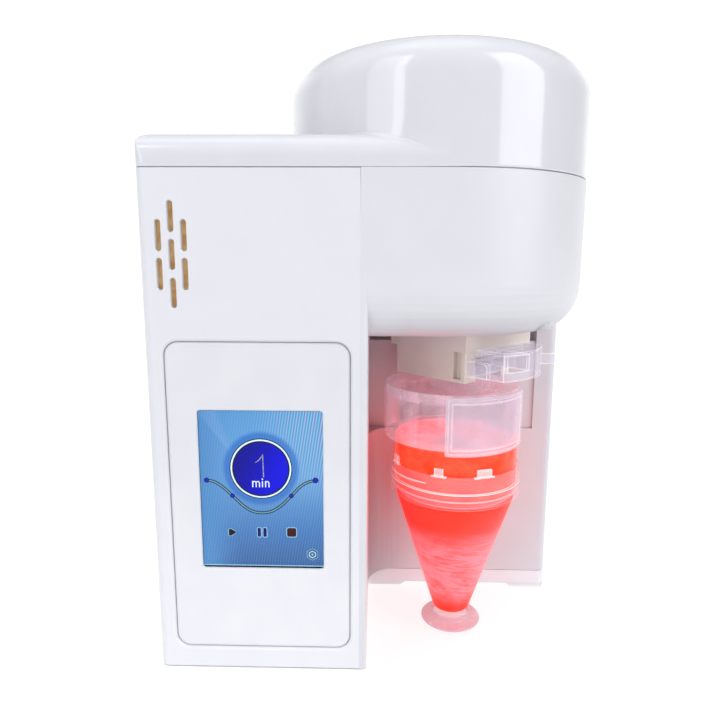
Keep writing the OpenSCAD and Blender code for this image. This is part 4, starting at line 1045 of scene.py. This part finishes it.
def build_screen():
    ys = Y0 + 1.98
    pts = rr(SX0 - 3, SX1 + 3, SZ0 - 4, SZ1 + 3, 1.0, 0, 6)
    rings = [facing(pts, Y0 + 3.1), facing(pts, Y0 + 2.15), facing(rr(SX0 - 3, SX1 + 3, SZ0 - 4, SZ1 + 3, 1.0, -0.12, 6), Y0 + 2.03)]
    o = make("display_glass", *loft(rings), M["screen"], "housing", angle=50)
    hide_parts("touch_glass")
    yb = Y0 + 2.03
    cx, cz = -50.7, 103.1

    def y(k):
        return yb - 0.02 * k
    # painted shadow: a black strip at the lower edge of the opening stands in for the shade of the opening's edge on
    # the glass; a pale line above it, and dark border lines at the left and the top of the opening
    plate("ui_edge_shadow", [(SX0, SZ0), (SX1, SZ0), (SX1, SZ0 + 0.75), (SX0, SZ0 + 0.75)], y(2), yb, M["ui_black"])
    plate("ui_edge_glow", [(SX0, SZ0 + 0.75), (SX1, SZ0 + 0.75), (SX1, SZ0 + 1.2), (SX0, SZ0 + 1.2)], y(1), yb, M["ui_pale"])
    plate("ui_edge_top", [(SX0, SZ1 - 0.22), (SX1, SZ1 - 0.22), (SX1, SZ1), (SX0, SZ1)], y(2), yb, M["ui_outline"])
    plate("ui_edge_left", [(SX0, SZ0), (SX0 + 0.2, SZ0), (SX0 + 0.2, SZ1), (SX0, SZ1)], y(2), yb, M["ui_outline"])
    # wave line below the dial
    key = [(-74.08, 97.75), (-71.2, 97.2), (-67.6, 95.1), (-63.19, 90.9), (-58.6, 86.4), (-54.8, 84.0), (-50.6, 83.3),
           (-46.4, 84.1), (-42.4, 86.6), (-37.88, 91.15), (-34.0, 95.3), (-30.6, 97.4), (-27.5, 98.2)]
    curve = []
    for i in range(len(key) - 1):
        p0, p1, p2, p3 = (Vector(key[max(i - 1, 0)]), Vector(key[i]), Vector(key[i + 1]), Vector(key[min(i + 2, len(key) - 1)]))
        for s in range(6):
            t = s / 6
            curve.append(0.5 * ((2 * p1) + (p2 - p0) * t + (2 * p0 - 5 * p1 + 4 * p2 - p3) * t * t + (3 * p1 - p0 - 3 * p2 + p3) * t ** 3))
    curve.append(Vector(key[-1]))
    stroke("ui_wave_outline", curve, 1.35, y(1), yb, M["ui_outline"])
    stroke("ui_wave_line", curve, 0.55, y(2), yb, M["ui_line"])
    for i, (px, pz, r) in enumerate(((-74.08, 97.75, 0.85), (-63.19, 90.9, 0.75), (-37.88, 91.15, 0.75), (-27.5, 98.2, 1.0))):
        plate("ui_dot_rim_%d" % i, circle(px, pz, r + 0.3, 32), y(2.5), yb, M["ui_outline"])
        plate("ui_dot_%d" % i, circle(px, pz, r, 32), y(3), yb, M["ui_blue"])
    # dial
    annulus("ui_dial_line", cx, cz, 12.9, 13.35, y(3), yb, M["ui_dark"])
    annulus("ui_dial_ring", cx, cz, 12.25, 12.95, y(4), yb, M["ui_white"])
    annulus("ui_dial_inner", cx, cz, 11.6, 12.27, y(5), yb, M["ui_dark"])
    plate("ui_dial", circle(cx, cz, 11.9), y(4.5), yb, M["ui_disc"])
    # the figure 1 and its unit
    stroke("ui_one_foot", [(-52.9, 105.9), (-51.4, 107.0), (-49.8, 109.2)], 0.34, y(6), yb, M["ui_grey"])
    stroke("ui_one_stem", [(-49.8, 109.3), (-49.72, 104.5), (-49.62, 99.6)], 0.40, y(6.5), yb, M["ui_grey"])

    def bar(i, pts, w=0.46):
        stroke("ui_unit_%d" % i, pts, w, y(6), yb, M["ui_white"])
    zb, zx = 95.1, 97.5
    r = 0.72

    def hump(x):
        return [(x, zb), (x, zx - 0.75), (x + 0.14, zx - 0.28), (x + 0.5, zx - 0.02), (x + 0.92, zx - 0.04), (x + 1.28, zx - 0.3), (x + 1.42, zx - 0.75), (x + 1.42, zb)]
    bar(0, [(-54.35, zb), (-54.35, zx)])
    bar(1, hump(-54.3))
    bar(2, hump(-52.85))
    bar(3, [(-50.15, zb), (-50.15, zx)])
    bar(4, [(-50.15, zx + 0.98), (-50.15, zx + 1.06)], 0.62)
    bar(5, [(-48.85, zb), (-48.85, zx)])
    bar(6, hump(-48.8))
    # play, pause, stop
    for i, (off, mat) in enumerate(((0.35, M["ui_pale"]), (0.0, M["ui_brown"]))):
        tri = round_profile([(-65.3 - off, 76.3 + off * 1.3), (-65.3 - off, 72.1 - off * 1.3), (-61.7 + off * 1.2, 74.2)], 0.6 + off, 5)
        plate("ui_play_%d" % i, tri, y(1 + i), yb, mat)
        plate("ui_pause_a_%d" % i, rr(-52.75, -51.35, 72.3, 76.4, 0.5, off), y(1 + i), yb, M["ui_pale"] if off else M["ui_navy"])
        plate("ui_pause_b_%d" % i, rr(-50.3, -48.85, 72.3, 76.4, 0.5, off), y(1 + i), yb, M["ui_pale"] if off else M["ui_navy"])
        plate("ui_stop_%d" % i, rr(-40.0, -36.0, 72.5, 76.5, 0.8, off), y(1 + i), yb, M["ui_pale"] if off else M["ui_red"])
    # hexagon with a ring in it
    hx, hz = -29.1, 64.4

    def hexa(q):
        return round_profile([(hx + q * math.sin(math.radians(60 * i)), hz + q * math.cos(math.radians(60 * i))) for i in range(6)], 0.4, 4)
    plate("ui_set_rim", hexa(2.75), y(1), yb, M["ui_pale"])
    plate("ui_set_dark", hexa(2.5), y(2), yb, M["ui_outline"])
    plate("ui_set_field", hexa(1.95), y(3), yb, M["ui_pale"])
    annulus("ui_set_ring", hx, hz, 0.55, 1.05, y(4), yb, M["ui_outline"], 40)


build_screen()


# ------------------------------------------------------------------ cup
def put_profile(name, profile, centre, mat, body, replaced=(), segs=144, angle=40, a0=0.0, a1=360.0):
    o = make(name, *revolve(profile, centre[0], centre[1], segs, a0, a1), mat, body, angle=angle)
    if replaced:
        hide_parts(*replaced)
    return o


def to_cup(u, v):
    """A point of the carrier's own plan, in the machine's plan."""
    s = math.sqrt(0.5)
    return CUP[0] + s * u + s * v, CUP[1] - s * u + s * v


def prism(pts, z0, z1, rho=0.0, steps=4):
    """An upright block over a plan outline, its upper and lower edges rounded by rho."""
    cx = sum(p[0] for p in pts) / len(pts)
    cy = sum(p[1] for p in pts) / len(pts)

    def inset(e):
        out = []
        n = len(pts)
        for i, p in enumerate(pts):
            a, b, c = Vector(pts[i - 1]), Vector(p), Vector(pts[(i + 1) % n])
            d1, d2 = (b - a), (c - b)
            if d1.length < 1e-9 or d2.length < 1e-9:
                out.append(tuple(b))
                continue
            n1 = Vector((-d1.y, d1.x)).normalized()
            n2 = Vector((-d2.y, d2.x)).normalized()
            m = (n1 + n2)
            m = m / max(m.length_squared / 2, 0.3)
            out.append(tuple(b + m * e))
        return out
    area = sum(pts[i - 1][0] * pts[i][1] - pts[i][0] * pts[i - 1][1] for i in range(len(pts)))
    sg = 1.0 if area > 0 else -1.0
    rings = []
    if rho > 0:
        for i in range(steps):
            a = math.radians(90 * i / steps)
            rings.append([(x, y, z0 + rho * (1 - math.sin(a))) for x, y in inset(sg * rho * (1 - math.cos(a)))][:])
        rings = [[(x, y, z0 + rho * (1 - math.cos(math.radians(90 * i / steps)))) for x, y in inset(sg * rho * (1 - math.sin(math.radians(90 * i / steps))))] for i in range(steps + 1)]
        rings += [[(x, y, z1 - rho * (1 - math.sin(math.radians(90 * i / steps)))) for x, y in inset(sg * rho * (1 - math.cos(math.radians(90 * i / steps))))] for i in range(steps + 1)]
    else:
        rings = [[(x, y, z0) for x, y in pts], [(x, y, z1) for x, y in pts]]
    return loft(rings)


def uv_prism(pts, z0, z1, rho=0.3):
    return prism([to_cup(u, v) for u, v in pts], z0, z1, rho)


# liquid, with a slightly raised edge at its surface
put_profile("sample_liquid", round_profile([(0.0, 9.9), (9.15, 11.7), (29.42, 74.4), (28.2, 76.6), (28.2, 78.0), (27.95, 78.4), (27.95, 93.7), (29.1, 94.9), (29.1, 102.8), (27.95, 103.9), (27.95, 116.9), (26.2, 115.9), (0.0, 115.7)],
                                           [0, 1.2, 0.5, 0.3, 0.2, 0.2, 0.5, 0.5, 0.5, 0.5, 0.1, 1.2, 0], 4), CUP, M["liquid"], "cup", ["cup_liquid"])

# the face of the red sample inside the neck, with the film of the swirl climbing at its rim
put_profile("sample_surface", round_profile([(0.0, 102.6), (27.4, 102.6), (27.7, 103.2), (27.7, 106.4), (27.2, 106.2), (25.6, 104.9), (12.0, 104.1), (0.0, 103.6)], [0, 0.3, 0.3, 0.15, 0.2, 1.5, 4.0, 0], 4),
            CUP, M["surface"], "cup")

# vessel: foot disc, cone and collar with its bands
VP = [(0.0, 4.0), (14.4, 4.0), (15.3, 4.55), (15.05, 5.35), (13.6, 5.3), (9.4, 5.6), (9.0, 6.3), (9.0, 8.2), (9.8, 9.4),
      (30.7, 75.7), (31.2, 76.0), (32.3, 77.0), (32.3, 77.9), (31.95, 78.3), (31.95, 79.3), (31.7, 79.8), (31.62, 83.3),
      (32.2, 83.7), (32.2, 84.4), (31.6, 84.8), (31.55, 91.7), (31.2, 92.3), (30.75, 92.3), (30.72, 79.4), (30.3, 78.0), (28.4, 77.7),
      (28.4, 76.7), (29.6, 74.6), (9.4, 11.4), (0.0, 9.6)]
VR = [0, 0.35, 0.35, 0.3, 0.2, 0.5, 0.3, 0.5, 0.6, 0.4, 0.3, 0.45, 0.2, 0.15, 0.15, 0.3, 0.2, 0.22, 0.22, 0.2, 0.2, 0.2, 0.15, 0.3, 0.3, 0.2, 0.2, 0.3, 0.8, 0]
put_profile("cup_body", round_profile(VP, VR, 4), CUP, M["cup"], "cup", ["cup_vessel"])

# lugs on the collar, and the short run of thread that shows through it
def lug(name, a, w):
    """A block on the collar's rim with a wider flat base."""
    ang = math.radians(a)
    c, s = math.cos(ang), math.sin(ang)

    def block(r0, r1, half, z0, z1, rho):
        return prism([(CUP[0] + c * px - s * py, CUP[1] + s * px + c * py) for px, py in ((r0, -half), (r1, -half), (r1, half), (r0, half))], z0, z1, rho)
    v1, f1 = block(30.75, 31.85, w / 2, 92.2, 96.25, 0.3)
    v2, f2 = block(30.7, 31.95, w / 2 + 1.5, 91.9, 92.8, 0.25)
    n = len(v1)
    o = make(name, v1 + v2, f1 + [tuple(i + n for i in f) for f in f2], M["lug"], "cup", angle=40)
    return o


M["lug"] = clear("lug_clear", (0.98, 0.72, 0.72, 1), (1.0, 0.84, 0.84, 1), 0.2, 0.5, edge_alpha=0.97, edge_r=0.0008, edge_gain=4.0, glow=0.35, spec=0.3)
for i, (a, w) in enumerate(((-111, 4.2), (-72, 7.2), (18, 4.2), (108, 7.2), (198, 4.2))):
    lug("collar_lug_%d" % i, a, w)


def thread_run(name, a0, a1, za, zb, n=40):
    """A slim raised run on the collar that thins out at both ends."""
    rings = []
    for i in range(n + 1):
        t = i / n
        a = math.radians(a0 + (a1 - a0) * t)
        k = math.sin(math.pi * min(max(t, 0.02), 0.98)) ** 0.5
        z = za + (zb - za) * t
        sec = [(31.5, -0.55 * k), (31.55 + 0.3 * k, -0.3 * k), (31.55 + 0.34 * k, 0.0), (31.55 + 0.3 * k, 0.3 * k), (31.5, 0.55 * k)]
        rings.append([(CUP[0] + r * math.cos(a), CUP[1] + r * math.sin(a), z + dz) for r, dz in sec])
    o = make(name, *loft(rings), M["lug"], "cup", angle=60)


thread_run("collar_thread_0", -176, -122, 86.9, 88.2)
thread_run("collar_thread_1", 4, 58, 86.9, 88.2)

# neck
put_profile("cup_throat", round_profile([(28.2, 91.2), (28.2, 90.9), (28.2, 80.7), (29.6, 80.7), (29.6, 82.5), (30.0, 82.9), (30.0, 83.5), (29.6, 83.9), (29.6, 86.1), (30.0, 86.5), (30.0, 87.1), (29.6, 87.5),
                                         (29.6, 89.6), (30.0, 90.0), (30.0, 90.5), (29.6, 91.0), (29.6, 92.7), (30.3, 93.3), (30.3, 104.1), (29.9, 104.5), (29.2, 104.75), (29.2, 125.8), (28.2, 125.8), (28.2, 104.3), (29.3, 103.3), (29.3, 94.3)], 0.22, 3), CUP, M["neck"], "cup_top", ["cup_neck"])

# cap: shroud, deck and boss
shroud = make("cap_shroud", *revolve(round_profile([(32.2, 105.0), (33.1, 105.0), (33.3, 106.2), (33.3, 129.0), (33.3, 131.0), (31.7, 131.0), (31.7, 129.6), (32.2, 128.6)],
                                                   [0.25, 0.3, 0.3, 0.4, 0.5, 0.5, 0.4, 0.4], 4), CAPC[0], CAPC[1], 160), M["cap"], "cup_top", angle=40)
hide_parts("cup_cap")
deck = make("cap_deck", *revolve(round_profile([(0.0, 126.0), (32.15, 126.0), (32.15, 127.8), (24.0, 127.8), (23.4, 127.2), (22.4, 127.2), (21.8, 127.8), (0.0, 127.8)], [0, 0.2, 0.3, 0.2, 0.2, 0.2, 0.2, 0], 3),
                                 CAPC[0], CAPC[1], 128), M["cap"], "cup_top", angle=40)
boss = make("cap_boss", *uv_prism(rr(-13, 13, 3.7 - 9.9, 3.7 + 9.9, 3.0), 127.85, 135.4, 0.4), M["cap"], "cup_top", angle=40)


def build_label():
    """Writing plate bent round the shroud, with a raised frame and a second thin frame inside it."""
    R = 33.9
    s0, s1 = math.radians(-101) * R, math.radians(-18) * R

    def outline(e, n=8):
        return rr(s0, s1, 103.0, 130.4, 1.1, e, n)

    # rings from the back face round the edge to the field: (offset, radius)
    steps = [(-0.25, 33.36), (0.0, 33.6), (0.0, 34.3), (-0.12, 34.55), (-0.35, 34.7), (-0.95, 34.7), (-1.2, 34.55), (-1.35, 34.15), (-2.7, 34.15), (-2.8, 34.3), (-3.1, 34.3), (-3.2, 34.15)]
    rings = [[(s, rad, z) for s, z in outline(e)] for e, rad in steps]
    verts, faces = loft(rings, True, True)
    bm = bmesh.new()
    vs = [bm.verts.new(v) for v in verts]
    for f in faces:
        bm.faces.new([vs[i] for i in f])
    k = 64
    for i in range(1, k):
        s = s0 + (s1 - s0) * i / k
        geom = bm.verts[:] + bm.edges[:] + bm.faces[:]
        bmesh.ops.bisect_plane(bm, geom=geom, dist=1e-5, plane_co=(s, 0, 0), plane_no=(1, 0, 0))
    for v in bm.verts:
        a = v.co.x / R
        r = v.co.y
        v.co = Vector(((CAPC[0] + r * math.cos(a)) * MM, (CAPC[1] + r * math.sin(a)) * MM, v.co.z * MM))
    bmesh.ops.recalc_face_normals(bm, faces=bm.faces)
    me = bpy.data.meshes.new("label_frame")
    bm.to_mesh(me)
    bm.free()
    me.materials.append(M["label"])
    o = bpy.data.objects.new("label_frame", me)
    bpy.context.scene.collection.objects.link(o)
    shade(o, 35)
    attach(o, "cup_top")
    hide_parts("label_plate")


build_label()

# ------------------------------------------------------------------ materials of the CAD nodes that stay
KEEP = {
    "main_housing": "housing", "base_tray": "tray", "rubber_feet": "rubber", "base_screws": "steel", "cover_screws": "steel", "front_screws": "steel",
    "lcd_module": "lcd", "display_board": "board", "display_screws": "steel", "control_board": "board", "board_screws": "steel",
    "ribbon_cable": "ribbon", "motor_cable": "cable", "speaker_cloth": "cloth", "speaker_frame": "black", "speaker_cone": "black",
    "speaker_magnet": "magnet", "power_inlet": "black", "switch_body": "black", "switch_rocker": "black", "power_leads": "cable",
    "motor_deck": "alu", "deck_screws": "steel", "motor_can": "motor", "motor_stator": "copper", "motor_bearings": "bearing",
    "motor_screws": "steel", "motor_rotor": "motor", "motor_shaft": "bearing", "eccentric_hub": "brass", "hub_setscrew": "steel",
    "deck_bearings": "bearing", "idler_crank_left": "violet", "idler_crank_right": "violet", "orbit_plate": "alu", "plate_bearing": "bearing",
    "idler_bearings": "bearing", "carrier_block": "carrier", "carrier_screws": "steel", "slide_clip": "clip", "cup_gasket": "seal",
}
for node, key in KEEP.items():
    o = NODES[node]
    if not o.material_slots:
        o.data.materials.append(M[key])
    for s in o.material_slots:
        s.material = M[key]

# ------------------------------------------------------------------ floor and light
FLOOR = bpy.data.materials.new("floor_pale")
FLOOR.use_nodes = True
FLOOR.node_tree.nodes.clear()
fg = G(FLOOR.node_tree)
fb = fg.n("ShaderNodeBsdfPrincipled")
fo = fg.n("ShaderNodeOutputMaterial")
fg.l(fb.outputs[0], fo.inputs["Surface"])
fg.l(fg.mix(fg.noise(fg.obj(), 3.0, 2.0, 0.5), (0.24, 0.24, 0.245, 1), (0.26, 0.26, 0.265, 1)), fb.inputs["Base Color"])
fb.inputs["Roughness"].default_value = 0.9
fb.inputs["Specular IOR Level"].default_value = 0.1
fb.inputs["Emission Color"].default_value = (1, 1, 1, 1)
fb.inputs["Emission Strength"].default_value = 0.79
bpy.ops.mesh.primitive_plane_add(size=30, location=(0, 8, 0))
floor = bpy.context.object
floor.name = "floor"
floor.data.materials.append(FLOOR)

world = bpy.data.worlds.new("studio")
bpy.context.scene.world = world
world.use_nodes = True
world.node_tree.nodes.clear()
w = G(world.node_tree)
bg = w.n("ShaderNodeBackground")
wo = w.n("ShaderNodeOutputWorld")
w.l(bg.outputs[0], wo.inputs["Surface"])
wx, wy, wz = w.xyz(w.t.nodes.new("ShaderNodeTexCoord").outputs["Generated"])
az = w.math("MULTIPLY", w.math("ARCTAN2", wx, w.math("MULTIPLY", wy, -1.0)), 180 / math.pi)   # 0 behind the camera, + to the right
el = w.math("MULTIPLY", w.math("ARCSINE", wz), 180 / math.pi)
aa = w.math("ABSOLUTE", az)


def band(lo, hi, soft):
    return w.math("MULTIPLY", w.smooth(az, lo - soft, lo + soft), w.smooth(az, hi + soft, hi - soft))


back = w.math("MULTIPLY", w.smooth(aa, 105, 142), w.smooth(el, 38, 24))
level = w.math("ADD", w.math("ADD", 0.57, w.math("MULTIPLY", back, 0.53)), w.math("MULTIPLY", w.smooth(el, 8, 66), 0.55))
level = w.math("SUBTRACT", level, w.math("ADD", w.math("MULTIPLY", band(-104, -61, 5.0), -0.33), w.math("ADD", w.math("MULTIPLY", band(80, 135, 5.0), 0.14), w.math("MULTIPLY", w.math("MULTIPLY", w.smooth(aa, 118, 150), w.smooth(el, 24, 40)), 0.28))))
tops = w.smooth(el, 58, 50)
level = w.math("ADD", level, w.math("MULTIPLY", w.math("MULTIPLY", band(-58, -29, 0.8), tops), 1.35))
level = w.math("ADD", level, w.math("MULTIPLY", w.math("MULTIPLY", band(-37, -29.5, 1.0), tops), 1.6))
level = w.math("ADD", level, w.math("MULTIPLY", w.math("MULTIPLY", band(40, 75, 1.5), tops), 2.35))
zen = w.smooth(el, 64, 78)
level = w.math("ADD", level, w.math("MULTIPLY", zen, 0.65))
w.l(w.mix(0.5, (0.985, 0.99, 1.0, 1), (1, 1, 1, 1)), bg.inputs["Color"])
w.l(level, bg.inputs["Strength"])

bpy.context.view_layer.update()
